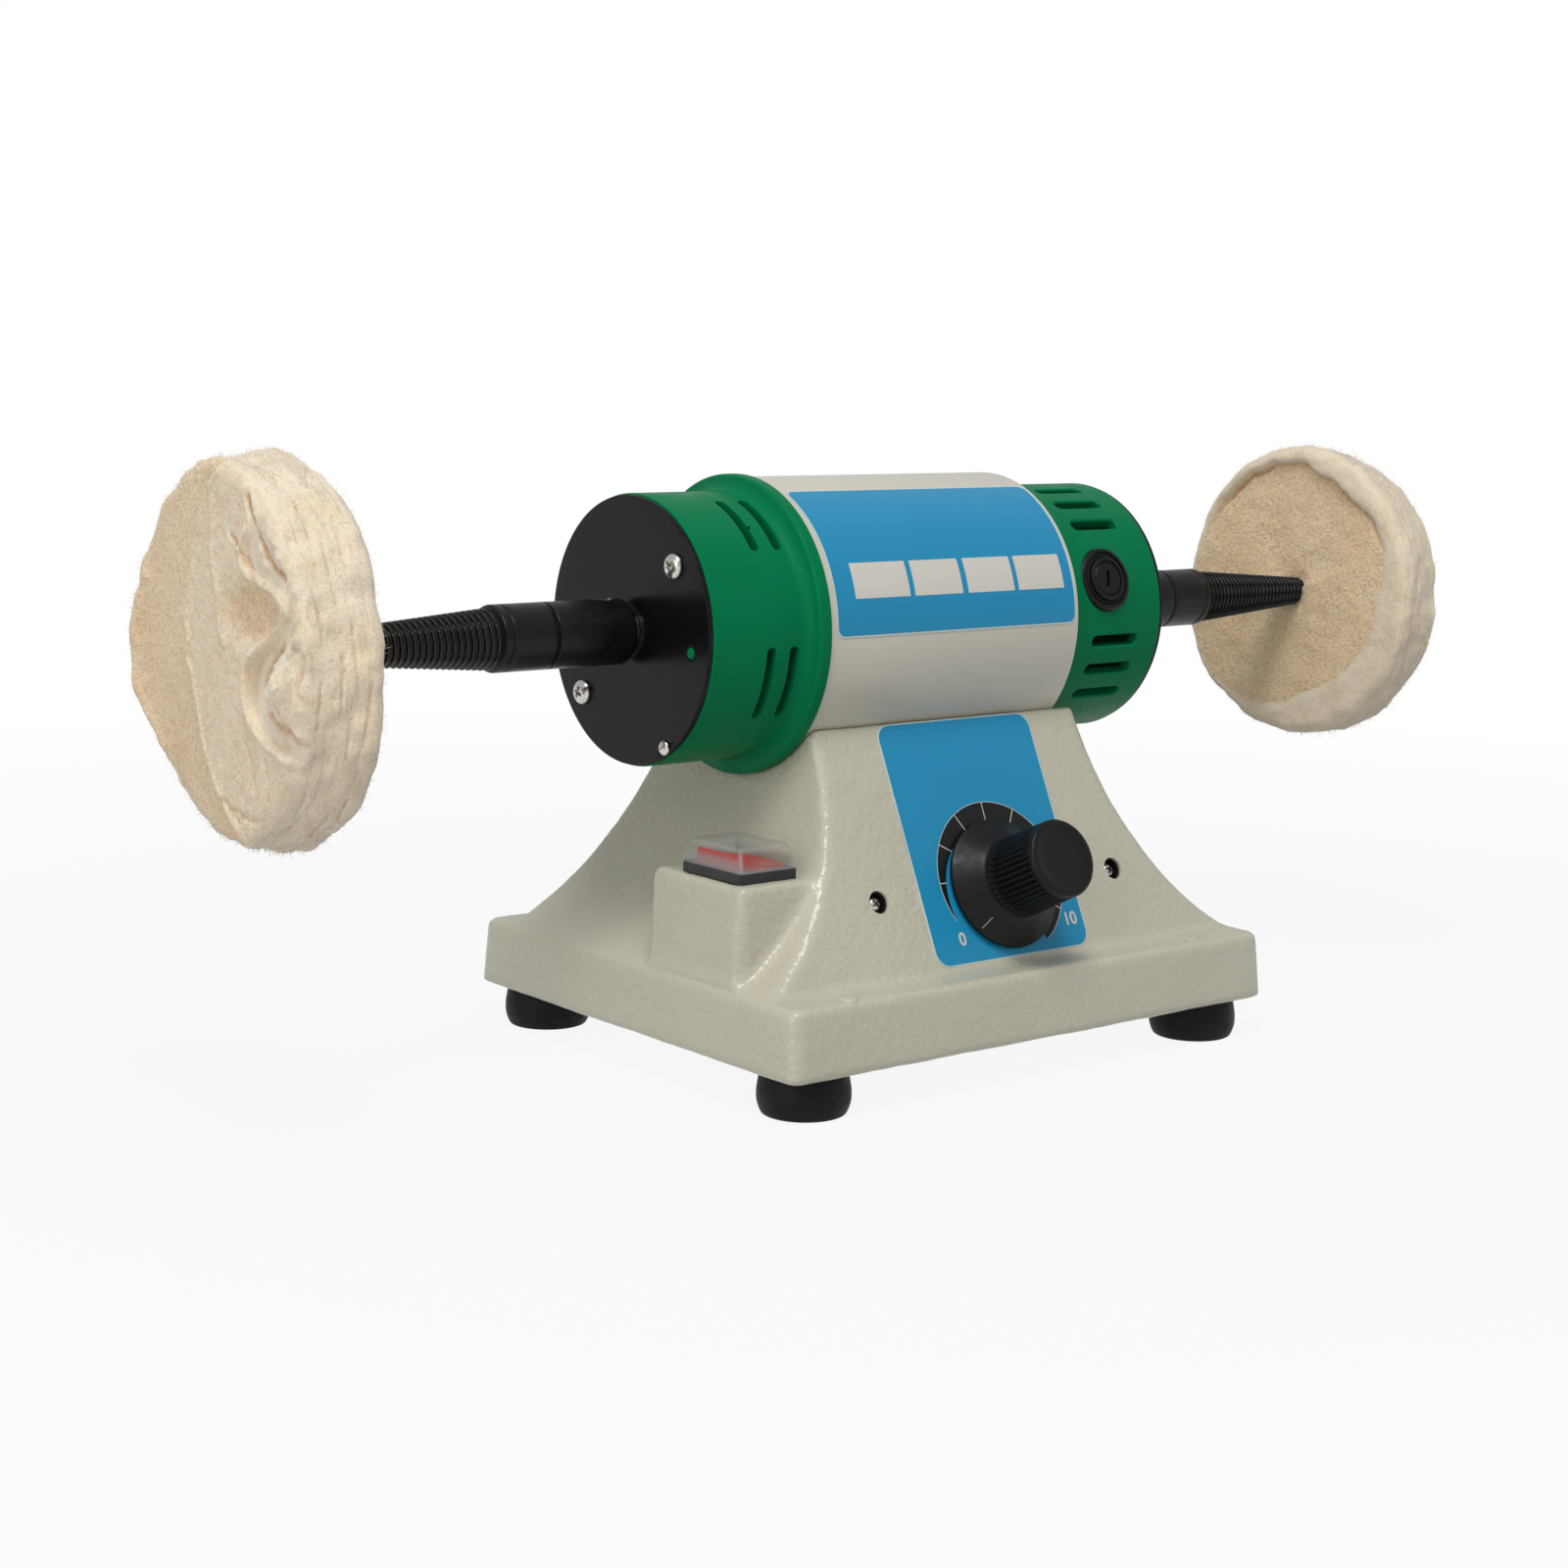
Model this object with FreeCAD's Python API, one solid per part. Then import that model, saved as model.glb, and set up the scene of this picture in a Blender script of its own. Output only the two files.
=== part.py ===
import FreeCAD, Part
import math
import os

V = FreeCAD.Vector
X_AXIS = V(1, 0, 0)
Y_AXIS = V(0, 1, 0)
Z_AXIS = V(0, 0, 1)
ORIGIN = V(0, 0, 0)

# A bench polishing lathe: a cast base on four feet, a motor across its top and
# a buff on a tapered spindle at each end. Sizes are in mm. X runs along the
# motor shaft, the control panel faces -Y, and the feet stand on z = 0.

# Clearances and fits
overrun = 2.0  # how far a cutting shape runs past the face it cuts
fit_gap = 0.1  # loose fit between two fixed pieces
running_gap = 0.05  # radial gap of a turning shaft in its hole
moving_gap = 0.3  # gap between other pieces that move past each other
visible_gap = 0.6  # gap under a piece that turns over a flat face

# Rubber feet and their screws
foot_height = 13.0
foot_inset_x = 17.0
foot_inset_y = 16.5
foot_bottom_radius = 12.8
foot_belly_radius = 14.2
foot_top_radius = 13.2
foot_recess_radius = 5.5
foot_recess_depth = 6.0
foot_screw_radius = 2.0
foot_screw_head_radius = 4.0
foot_screw_head_height = 2.6
foot_screw_length = 18.0

# Base casting: plinth, tower and switch box
base_length = 200.0
base_depth = 170.0
plinth_height = 22.0
plinth_draft_x = 1.0
plinth_draft_y = 2.0
plinth_corner_round = 4.0
plinth_edge_round = 1.5
casting_wall = 5.0
saddle_wall = 6.0
saddle_drop = 29.0  # from the motor's axis down to the tower's top corners
tower_top_width = 112.0
tower_foot_margin = 2.0
tower_edge_round = 2.5
front_ledge = 15.0
panel_lean = 24.7  # degrees from upright
foot_boss_radius = 7.0
pad_radius = 4.0
pad_height = 0.5
pad_inset_x = 28.5
pad_inset_y = 8.5
lead_hole_radius = 6.0
bottom_plate_thickness = 2.0

switch_box_height = 31.0
switch_box_step = 2.25  # how far the box's front stands behind the panel
switch_box_front_margin = 19.2  # from the switch's middle
switch_box_back_margin = 26.3
switch_box_left_margin = 13.75
switch_box_wall = 3.0
switch_box_round = 2.0

# Motor casing
axis_height = 138.0
tube_radius = 46.0
tube_wall = 3.0
tube_left = -57.0
tube_length = 104.0
cap_radius = 41.7
cap_wall = 3.7
cap_end_wall = 5.0
left_cap_length = 40.4
right_cap_length = 42.4
spigot_length = 6.0
flange_radius = 47.0
flange_length = 3.2
flange_step_radius = 44.6
flange_step_length = 3.0
disc_radius = 41.2
disc_thickness = 1.6
disc_bore_radius = 8.0
clock_angle = 17.0  # brush line above the front horizontal, degrees
screw_spread_angle = 24.5
screw_circle_radius = 32.0
tie_bolt_radius = 2.0
pan_head_radius = 3.9
pan_head_height = 2.4
cross_slot_width = 0.9
cross_slot_depth = 1.2
cover_screw_length = 4.5
edge_screw_circle_radius = 39.0
edge_screw_angle = -60.0
edge_screw_radius = 1.2
edge_screw_head_radius = 2.3
edge_screw_head_height = 1.5
motor_screw_radius = 2.5
motor_screw_head_radius = 4.4
motor_screw_head_height = 3.0
motor_screw_spacing = 66.0

# Vents: pairs of curved slots on the left cap, rows of straight ones on the right
vent_offset_angle = 37.3
curved_vent_width = 3.4
curved_vent_span = 33.0
curved_vent_first = 21.6
curved_vent_pitch = 8.6
straight_vent_offset_angle = 42.3
straight_vent_step_angle = 14.0
straight_vent_width = 3.8
straight_vent_length = 20.5
straight_vent_start = 12.0

# Stator, armature and commutator
core_length = 60.0
core_centre = -2.0
yoke_inner_radius = 35.5
stator_bore_radius = 20.6
pole_neck_width = 26.0
pole_shoe_radius = 24.6
pole_shoe_span = 120.0
coil_gap = 0.4
coil_width = 7.0
coil_inner_height = 21.2
coil_height = 6.6
coil_overhang = 10.0
coil_round = 3.0
armature_radius = 20.0
armature_slots = 12
armature_slot_width = 4.0
armature_slot_depth = 8.5
winding_gap = 0.2
winding_overhang = 11.0
winding_neck_radius = 12.0
commutator_radius = 11.5
commutator_hub_radius = 8.6
commutator_length = 18.0
commutator_bars = 24
bar_slot_width = 0.5
bar_slot_depth = 1.2
riser_radius = 12.6
riser_length = 2.0

# Shaft, bearings and fan
shaft_radius = 6.0
shaft_body_radius = 7.0
shaft_grip_length = 34.0
bearing_outer_radius = 14.0
bearing_width = 8.0
bearing_pitch_radius = 10.0
bearing_ring_wall = 2.3
ball_radius = 2.2
ball_count = 8
cage_thickness = 1.2
cage_width = 6.0
bearing_boss_radius = 18.0
fan_radius = 28.5
fan_hub_radius = 11.0
fan_plate_thickness = 1.5
fan_length = 16.0
fan_blades = 12
fan_blade_thickness = 1.4
fan_centre = -68.0

# Brush gear
brush_centre = 64.6
brush_length = 12.0
brush_width = 6.0
brush_thickness = 7.0
brush_bore_radius = 5.0
brush_tube_radius = 6.8
brush_tube_clearance = 2.0
brush_collar_radius = 10.5
brush_collar_depth = 6.4
brush_collar_stand = 0.7
brush_boss_radius = 13.0
brush_boss_sink = 0.7
brush_cap_radius = 6.0
brush_cap_length = 9.0
brush_cap_head_radius = 7.2
brush_cap_head_height = 1.2
brush_cap_slot_width = 1.3
brush_cap_slot_depth = 0.8
spring_wire_radius = 0.4
spring_coil_radius = 3.2
spring_turns = 5

# Spindles and buffs
spindle_start = 101.3
spindle_radius = 10.1
sleeve_length = 47.9
sleeve_chamfer = 1.5
sleeve_groove_place = 25.5
sleeve_groove_width = 0.7
sleeve_groove_depth = 0.4
sleeve_collar_length = 6.5
taper_root_radius = 9.9
taper_tip_radius = 3.7
taper_length = 73.0
thread_pitch = 2.07
thread_depth = 0.9
tip_length = 2.5
set_screw_place = 7.0
set_screw_radius = 2.2
set_screw_socket_radius = 1.1
set_screw_socket_depth = 1.6
set_screw_sink = 0.4
buff_radius = 53.5
buff_thickness = 23.0
buff_plies = 8
ply_groove_depth = 4.0
ply_groove_width = 1.0
buff_shoulder = 3.0
left_buff_outer = -238.5
right_buff_outer = 226.0

# Control panel: dial plate, speed knob, potentiometer, bracket and board
control_x = 2.5
control_rise = 25.0
dial_plate_x = 1.0
dial_plate_width = 64.5
dial_plate_foot = 1.7
dial_plate_head = 1.25
dial_plate_thickness = 0.4
dial_plate_round = 5.0
panel_screw_spread = 50.0
panel_screw_radius = 1.5
panel_screw_head_radius = 2.8
panel_screw_head_height = 1.8
panel_screw_well_radius = 3.2
panel_screw_well_depth = 3.2
bracket_width = 112.0
bracket_height = 24.0
bracket_thickness = 1.5
pot_radius = 12.0
pot_depth = 10.0
pot_wall = 1.4
bushing_radius = 3.5
pot_nut_radius = 6.2
pot_nut_height = 2.5
bushing_stand = 0.6
pot_shaft_radius = 2.6
wiper_radius = 9.0
wiper_thickness = 1.5
knob_height = 31.0
knob_skirt_radius = 21.0
knob_skirt_edge = 1.4
knob_cone_height = 9.5
knob_grip_radius = 12.6
knob_grip_top_radius = 12.2
knob_bevel = 1.0
knob_hollow_radius = 8.0
knob_hollow_height = 4.5
knob_bore_depth = 20.0
flute_count = 36
flute_radius = 0.55
flute_end_margin = 2.0
pointer_width = 0.9
pointer_thickness = 0.3
pointer_margin = 0.8
pointer_angle = 222.0  # from +X, counter-clockwise on the panel, at rest
board_width = 84.0
board_height = 44.0
board_thickness = 1.6
board_stand = 16.0
board_rise = 27.0
spacer_radius = 2.5
spacer_margin = 4.0
heat_sink_width = 28.0
heat_sink_depth = 18.0
heat_sink_plate = 3.0
heat_sink_fin = 1.5
heat_sink_fin_height = 10.0
heat_sink_fins = 6
heat_sink_x = -18.0
triac_width = 10.0
triac_depth = 14.0
triac_thickness = 4.5
capacitor_width = 18.0
capacitor_height = 16.0
capacitor_depth = 10.0
capacitor_x = 20.0

# Rocker switch and its splash boot
switch_flank_gap = 3.6
bezel_width = 21.6
bezel_length = 30.0
bezel_thickness = 3.2
bezel_round = 1.5
switch_body_wall = 0.9
switch_body_depth = 22.0
switch_well_depth = 7.0
rocker_half_width = 8.2
rocker_length = 22.0
rocker_tilt = 12.0  # either way from level, degrees
rocker_valley = 2.0
rocker_skirt = 2.0
rocker_keel = 4.5
rocker_keel_half_width = 3.0
rocker_pivot_sink = 0.8
rocker_pin_radius = 1.2
rocker_pin_length = 0.6
boot_height = 7.4
boot_top_width = 19.2
boot_top_length = 25.8
boot_wall = 0.8
terminal_width = 6.3
terminal_thickness = 0.8
terminal_length = 8.0
terminal_spread_x = 5.5
terminal_spread_y = 8.0

# Motor label
label_left_margin = 2.5
label_right_margin = 1.5
label_thickness = 0.3
label_low_angle = -1.0
label_high_angle = 66.0

# Cable gland and terminal block
gland_x = 40.0
gland_rise = 9.5
gland_thread_radius = 6.0
gland_bore_radius = 3.5
gland_flange_radius = 8.0
gland_flange_thickness = 3.0
gland_dome_radius = 7.0
gland_dome_tip_radius = 5.2
gland_dome_length = 9.0
gland_seat_sink = 2.5
gland_nut_radius = 8.2
gland_nut_thickness = 3.0
block_width = 40.0
block_depth = 16.0
block_height = 14.0
block_x = 40.0
block_wall_gap = 20.0
block_screw_radius = 2.0
block_screw_depth = 3.0
block_screws = 4

# Places worked out from the sizes above
half_turn = 180.0
plinth_top = foot_height + plinth_height
tower_top = axis_height - saddle_drop
tower_height = tower_top - plinth_top
panel_foot = base_depth / 2 - front_ledge
foot_x = base_length / 2 - foot_inset_x
foot_y = base_depth / 2 - foot_inset_y
pad_x = base_length / 2 - pad_inset_x
pad_y = base_depth / 2 - pad_inset_y
plate_top = foot_height + bottom_plate_thickness
tube_right = tube_left + tube_length
left_cap_end = tube_left - left_cap_length
right_cap_end = tube_right + right_cap_length
left_face = left_cap_end - disc_thickness
right_face = right_cap_end + disc_thickness
cap_inner_radius = cap_radius - cap_wall
left_bearing_end = left_cap_end + cap_end_wall
right_bearing_end = right_cap_end - cap_end_wall
core_left = core_centre - core_length / 2
core_right = core_centre + core_length / 2
commutator_left = brush_centre - commutator_length / 2
commutator_right = brush_centre + commutator_length / 2
lean = math.radians(panel_lean)

# The dial plate ends under the tube or at the tower's top, whichever is lower along the panel
slant_offset = -panel_foot * math.sin(lean) - (axis_height - plinth_top) * math.cos(lean)
tube_clear_sq = panel_foot ** 2 + (axis_height - plinth_top) ** 2 - tube_radius ** 2
saddle_rise = -slant_offset - math.sqrt(max(0, slant_offset ** 2 - tube_clear_sq))
dial_plate_top = min(saddle_rise, tower_height / math.cos(lean)) - dial_plate_head
dial_plate_height = dial_plate_top - dial_plate_foot

# The flank is an arc that starts upright at the tower's top, and the switch stands at its foot
tower_foot_half = base_length / 2 - plinth_draft_x - tower_foot_margin
flare_run = tower_foot_half - tower_top_width / 2
flare_radius = (flare_run ** 2 + tower_height ** 2) / (2 * flare_run)
flare_centre = tower_top_width / 2 + flare_radius
switch_box_top = plinth_top + switch_box_height
flank_at_switch = flare_centre - math.sqrt(flare_radius ** 2 - (tower_top - switch_box_top) ** 2)
switch_x = -flank_at_switch - switch_flank_gap - bezel_width / 2
switch_box_left = switch_x - switch_box_left_margin
switch_box_front = switch_box_step - panel_foot + switch_box_height * math.tan(lean)
switch_y = switch_box_front + switch_box_front_margin
switch_box_back = switch_y + switch_box_back_margin

panel_back = -casting_wall
bracket_back = panel_back - bracket_thickness
board_front = bracket_back - board_stand
board_back = board_front - board_thickness
bezel_bottom = switch_box_top
bezel_top = bezel_bottom + bezel_thickness
pivot_height = bezel_top - rocker_pivot_sink
cavity_half_x = base_length / 2 - plinth_draft_x - casting_wall
cavity_half_y = base_depth / 2 - plinth_draft_y - casting_wall
cavity_top = plinth_top - casting_wall
block_y = cavity_half_y - block_wall_gap - block_depth / 2
taper_start = spindle_start + sleeve_length
taper_end = taper_start + taper_length


def box(x0, x1, y0, y1, z0, z1):
    """A box between two corners."""
    return Part.makeBox(x1 - x0, y1 - y0, z1 - z0, V(x0, y0, z0))


def rod(x0, x1, radius, y=0, z=0):
    """A round bar along X."""
    return Part.makeCylinder(radius, x1 - x0, V(x0, y, z), X_AXIS)


def post(x, y, z0, z1, radius):
    """A round bar along Z."""
    return Part.makeCylinder(radius, z1 - z0, V(x, y, z0), Z_AXIS)


def face_of(points):
    """A flat face inside a closed outline."""
    return Part.Face(Part.makePolygon(points + [points[0]]))


def turned_x(profile):
    """A solid turned about X from an outline of (x, radius) pairs."""
    outline = [V(x, r, 0) for x, r in profile]
    return face_of(outline).revolve(ORIGIN, X_AXIS, 360)


def turned_z(profile):
    """A solid turned about Z from an outline of (radius, z) pairs."""
    outline = [V(r, 0, z) for r, z in profile]
    return face_of(outline).revolve(ORIGIN, Z_AXIS, 360)


def fused(shapes):
    """One solid made of touching or overlapping ones."""
    return shapes[0].multiFuse(shapes[1:]).removeSplitter()


def cut_by(shape, tools):
    """The shape less every tool."""
    return shape.cut(tools)


def moved(shape, x=0, y=0, z=0):
    """A copy moved by the given distances."""
    copy = shape.copy()
    copy.translate(V(x, y, z))
    return copy


def turned_by(shape, angle, axis=X_AXIS, centre=ORIGIN):
    """A copy turned about an axis, in degrees."""
    copy = shape.copy()
    copy.rotate(centre, axis, angle)
    return copy


def flipped_x(shape):
    """The shape's mirror image in the YZ plane."""
    return shape.mirror(ORIGIN, X_AXIS)


def grouped(shapes):
    """Separate solids kept in one node."""
    solids = []
    for shape in shapes:
        solids.extend(shape.Solids)
    return Part.makeCompound(solids)


def on_motor_axis(shape):
    """Lift a piece that was drawn about the X axis to the motor's height."""
    return moved(shape, z=axis_height)


def at_clock(shape, angle):
    """Turn a piece drawn towards -Y so that it points that far above it."""
    return turned_by(shape, -angle)


def on_panel(shape):
    """Stand a piece drawn in the XY plane, facing +Z, on the leaning panel."""
    upright = turned_by(shape, 90 - panel_lean)
    return moved(upright, y=-panel_foot, z=plinth_top)


def rounded_plate(width, height, thickness, corner):
    """A flat plate in the XY plane with rounded corners, centred on the origin."""
    plate = box(-width / 2, width / 2, -height / 2, height / 2, 0, thickness)
    corners = [edge for edge in plate.Edges if is_upright(edge)]
    return plate.makeFillet(corner, corners)


def is_upright(edge):
    """Whether a straight edge runs along Z."""
    span = edge.BoundBox
    return span.ZLength > span.XLength + span.YLength


def hexagon(radius, height):
    """A six-sided prism along Z."""
    corners = []
    for step in range(6):
        angle = math.radians(60 * step)
        corners.append(V(radius * math.cos(angle), radius * math.sin(angle), 0))
    return face_of(corners).extrude(V(0, 0, height))


def round_pattern(shape, count, axis=X_AXIS):
    """Copies of a shape spread evenly round an axis."""
    return [turned_by(shape, 360 * step / count, axis) for step in range(count)]


def opposite_pair(shape):
    """The shape and its copy half a turn round the motor's axis."""
    return [shape, turned_by(shape, half_turn)]


# Base casting

def plinth():
    """The drafted block under the tower."""
    def outline(half_x, half_y, z):
        corners = [V(-half_x, -half_y, z), V(half_x, -half_y, z), V(half_x, half_y, z), V(-half_x, half_y, z)]
        return Part.makePolygon(corners + [corners[0]])
    low = outline(base_length / 2, base_depth / 2, foot_height)
    high = outline(base_length / 2 - plinth_draft_x, base_depth / 2 - plinth_draft_y, plinth_top)
    block = Part.makeLoft([low, high], True, True)
    block = block.makeFillet(plinth_corner_round, [edge for edge in block.Edges if is_upright(edge)])
    rim = [edge for edge in block.Edges if edge.BoundBox.ZMin > plinth_top - overrun / 2]
    return block.makeFillet(plinth_edge_round, rim)


def tower(inset):
    """The flared tower, shrunk by an even inset for its hollow."""
    radius = flare_radius + inset
    low_half = flare_centre - math.sqrt(radius ** 2 - tower_height ** 2)
    top_half = flare_centre - radius
    mid_drop = tower_height / 2
    mid_half = flare_centre - math.sqrt(radius ** 2 - mid_drop ** 2)
    base_z = plinth_top - casting_wall - overrun
    far = base_depth / 2

    def at(half, z):
        return V(half, -far, z)
    right = Part.Arc(at(low_half, plinth_top), at(mid_half, tower_top - mid_drop), at(top_half, tower_top))
    left = Part.Arc(at(-top_half, tower_top), at(-mid_half, tower_top - mid_drop), at(-low_half, plinth_top))
    edges = [
        Part.makeLine(at(-low_half, base_z), at(low_half, base_z)),
        Part.makeLine(at(low_half, base_z), at(low_half, plinth_top)),
        right.toShape(),
        Part.makeLine(at(top_half, tower_top), at(-top_half, tower_top)),
        left.toShape(),
        Part.makeLine(at(-low_half, plinth_top), at(-low_half, base_z)),
    ]
    side_on = Part.Face(Part.Wire(edges)).extrude(V(0, 2 * far, 0))

    slope = math.tan(lean)
    shift = inset / math.cos(lean)
    low_y = panel_foot - shift + slope * (plinth_top - base_z)
    high_y = panel_foot - shift - slope * tower_height
    end = -base_length / 2
    front_on = face_of([
        V(end, -low_y, base_z), V(end, low_y, base_z), V(end, high_y, tower_top),
        V(end, -high_y, tower_top)])
    return side_on.common(front_on.extrude(V(base_length, 0, 0)))


def rounded_tower():
    """The outer tower with its four long slanting edges rounded."""
    body = tower(0)
    slanting = []
    for edge in body.Edges:
        span = edge.BoundBox
        spans_tower = span.ZMax > tower_top - overrun / 2 and span.ZMin < plinth_top + overrun / 2
        if spans_tower and span.XLength > overrun:
            slanting.append(edge)
    return body.makeFillet(tower_edge_round, slanting)


def switch_box():
    """The box on the tower's left flank that carries the switch."""
    inner_end = -tower_top_width / 2
    block = box(switch_box_left, inner_end, switch_box_front, switch_box_back, cavity_top, switch_box_top)
    outer = [edge for edge in block.Edges if is_upright(edge) and edge.BoundBox.XMax < inner_end - overrun]
    block = block.makeFillet(switch_box_round, outer)
    rim = []
    for edge in block.Edges:
        span = edge.BoundBox
        if span.ZMin > switch_box_top - overrun / 2 and span.XMin < inner_end - overrun:
            rim.append(edge)
    return block.makeFillet(plinth_edge_round, rim)


def foot_places():
    """The middles of the four feet."""
    return [(x, y) for x in (-foot_x, foot_x) for y in (-foot_y, foot_y)]


def motor_screw_places():
    """Where the motor's screws stand along X."""
    middle = tube_left + tube_length / 2
    return [middle - motor_screw_spacing / 2, middle + motor_screw_spacing / 2]


def base_casting():
    """The hollow casting that everything is fixed to."""
    pads = []
    for x in (-pad_x, pad_x):
        for y in (-pad_y, pad_y):
            pads.append(post(x, y, plinth_top - overrun, plinth_top + pad_height, pad_radius))
    outer = fused([plinth(), rounded_tower(), switch_box()] + pads)

    saddle = rod(-base_length, base_length, tube_radius, z=axis_height)
    saddle_back = rod(-base_length, base_length, tube_radius + saddle_wall, z=axis_height)
    low_hollow = box(
        -cavity_half_x, cavity_half_x, -cavity_half_y, cavity_half_y, foot_height - overrun, cavity_top)
    tower_hollow = tower(casting_wall).cut(saddle_back)
    box_hollow = box(
        switch_box_left + switch_box_wall, -tower_top_width / 2,
        switch_box_front + switch_box_wall, switch_box_back - switch_box_wall,
        cavity_top - overrun, switch_box_top - switch_box_wall)
    flange_room = rod(-base_length, tube_left, flange_radius + fit_gap, z=axis_height)
    body = cut_by(outer, [saddle, flange_room, low_hollow, tower_hollow, box_hollow])

    bosses = []
    for x, y in foot_places():
        boss = post(x, y, plate_top, cavity_top + overrun, foot_boss_radius)
        bosses.append(boss)
    body = fused([body] + bosses)

    cuts = [lead_hole(), panel_hole(), switch_hole(), gland_hole(), gland_seat_cut()]
    for x, y in foot_places():
        top = foot_recess_depth + foot_screw_length + fit_gap
        cuts.append(post(x, y, plate_top - overrun, top, foot_screw_radius + fit_gap / 2))
    for x in motor_screw_places():
        cuts.append(post(
            x, 0, plinth_top, axis_height - tube_radius + overrun, motor_screw_radius + fit_gap / 2))
    cuts.extend(panel_screw_wells())
    return cut_by(body, cuts)


def lead_hole():
    """The leads' way from the tower into the motor."""
    middle = tube_left + tube_length / 2
    return post(middle, 0, plinth_top, axis_height - tube_radius + tube_wall + overrun, lead_hole_radius)


def panel_hole():
    """The potentiometer bushing's hole through the panel."""
    hole = post(control_x, control_rise, -casting_wall - overrun, overrun, bushing_radius + fit_gap)
    return on_panel(hole)


def panel_screw_wells():
    """Sunk holes for the two screws beside the dial."""
    wells = []
    for side in (-panel_screw_spread, panel_screw_spread):
        x = control_x + side
        wells.append(on_panel(post(
            x, control_rise, -panel_screw_well_depth, overrun, panel_screw_well_radius)))
        wells.append(on_panel(post(
            x, control_rise, -casting_wall - overrun, 0, panel_screw_radius + fit_gap)))
    return wells


def switch_half_x():
    """Half the width of the switch body under its bezel."""
    drop = rocker_valley + rocker_half_width * math.tan(math.radians(rocker_tilt))
    reach = math.hypot(rocker_half_width, drop)
    return reach + moving_gap + switch_body_wall


def switch_half_y():
    """Half the length of the switch body under its bezel."""
    return rocker_length / 2 + moving_gap + switch_body_wall


def switch_hole():
    """The switch body's hole in the top of its box."""
    half_x = switch_half_x() + fit_gap
    half_y = switch_half_y() + fit_gap
    low = switch_box_top - switch_box_wall - overrun
    return box(
        switch_x - half_x, switch_x + half_x, switch_y - half_y, switch_y + half_y, low,
        switch_box_top + overrun)


def gland_seat():
    """The Y of the flat seat that the gland's flange sits on."""
    return base_depth / 2 - gland_seat_sink


def gland_axis_height():
    """The height of the gland's middle."""
    return foot_height + gland_rise


def gland_rod(y0, y1, radius):
    """A round bar along Y on the gland's axis."""
    return Part.makeCylinder(radius, y1 - y0, V(gland_x, y0, gland_axis_height()), Y_AXIS)


def gland_hole():
    """The gland's hole in the rear wall."""
    return gland_rod(cavity_half_y - overrun, base_depth / 2 + overrun, gland_thread_radius + fit_gap)


def gland_seat_cut():
    """The spot face round the gland's hole."""
    return gland_rod(gland_seat(), base_depth / 2 + overrun, gland_flange_radius + fit_gap)


def bottom_plate():
    """The sheet that closes the casting from below."""
    half_x = cavity_half_x - fit_gap
    half_y = cavity_half_y - fit_gap
    plate = box(-half_x, half_x, -half_y, half_y, foot_height, plate_top)
    holes = []
    for x, y in foot_places():
        holes.append(post(x, y, foot_height - overrun, plate_top + overrun, foot_screw_radius + fit_gap))
    return cut_by(plate, holes)


def rubber_feet():
    """Four barrel-shaped feet, each sunk below for its screw head."""
    belly = foot_height / 2
    profile = [
        (foot_screw_radius + fit_gap, foot_recess_depth),
        (foot_recess_radius, foot_recess_depth),
        (foot_recess_radius, 0),
        (foot_bottom_radius, 0),
        (foot_belly_radius, belly / 2),
        (foot_belly_radius, belly),
        (foot_top_radius, foot_height),
        (foot_screw_radius + fit_gap, foot_height),
    ]
    foot = turned_z(profile)
    return grouped([moved(foot, x, y) for x, y in foot_places()])


def foot_screws():
    """The screws that hold the feet and the bottom plate."""
    screws = []
    for x, y in foot_places():
        head = post(
            x, y, foot_recess_depth - foot_screw_head_height, foot_recess_depth, foot_screw_head_radius)
        shank = post(x, y, foot_recess_depth, foot_recess_depth + foot_screw_length, foot_screw_radius)
        screws.append(fused([head, shank]))
    return grouped(screws)


def motor_screws():
    """The screws from inside the tower into the motor tube."""
    screws = []
    seat = axis_height - tube_radius - saddle_wall
    tip = axis_height - tube_radius + tube_wall
    for x in motor_screw_places():
        head = post(x, 0, seat - motor_screw_head_height, seat, motor_screw_head_radius)
        shank = post(x, 0, seat, tip, motor_screw_radius)
        screws.append(fused([head, shank]))
    return grouped(screws)


# Motor casing, drawn about the X axis and then lifted

def motor_tube():
    """The tube that carries the stator."""
    tube = rod(tube_left, tube_right, tube_radius).cut(rod(tube_left, tube_right, tube_radius - tube_wall))
    tube = on_motor_axis(tube)
    cuts = [lead_hole()]
    for x in motor_screw_places():
        cuts.append(post(
            x, 0, plinth_top, axis_height - tube_radius + tube_wall + overrun,
            motor_screw_radius + fit_gap / 2))
    return cut_by(tube, cuts)


def screw_angles():
    """Clock angles of the through bolts, and of the free holes, on the discs."""
    bolt = clock_angle + screw_spread_angle
    free = clock_angle - screw_spread_angle
    return [bolt, bolt + half_turn], [free, free + half_turn]


def towards(x0, x1, radius, reach, angle):
    """A bar along X at a distance from the axis, at a clock angle."""
    return at_clock(rod(x0, x1, radius, y=-reach), angle)


def curved_vent(x, centre):
    """A slot with round ends that runs round the cap."""
    inner = cap_inner_radius - overrun
    outer = cap_radius + overrun
    half = curved_vent_width / 2
    blank = face_of([
        V(x - half, -inner, 0), V(x + half, -inner, 0), V(x + half, -outer, 0), V(x - half, -outer, 0)])
    sweep = blank.revolve(ORIGIN, X_AXIS, curved_vent_span)
    end = Part.makeCylinder(half, outer - inner, V(x, -inner, 0), V(0, -1, 0))
    slot = fused([sweep, end, turned_by(end, curved_vent_span)])
    return at_clock(slot, centre + curved_vent_span / 2)


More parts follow.
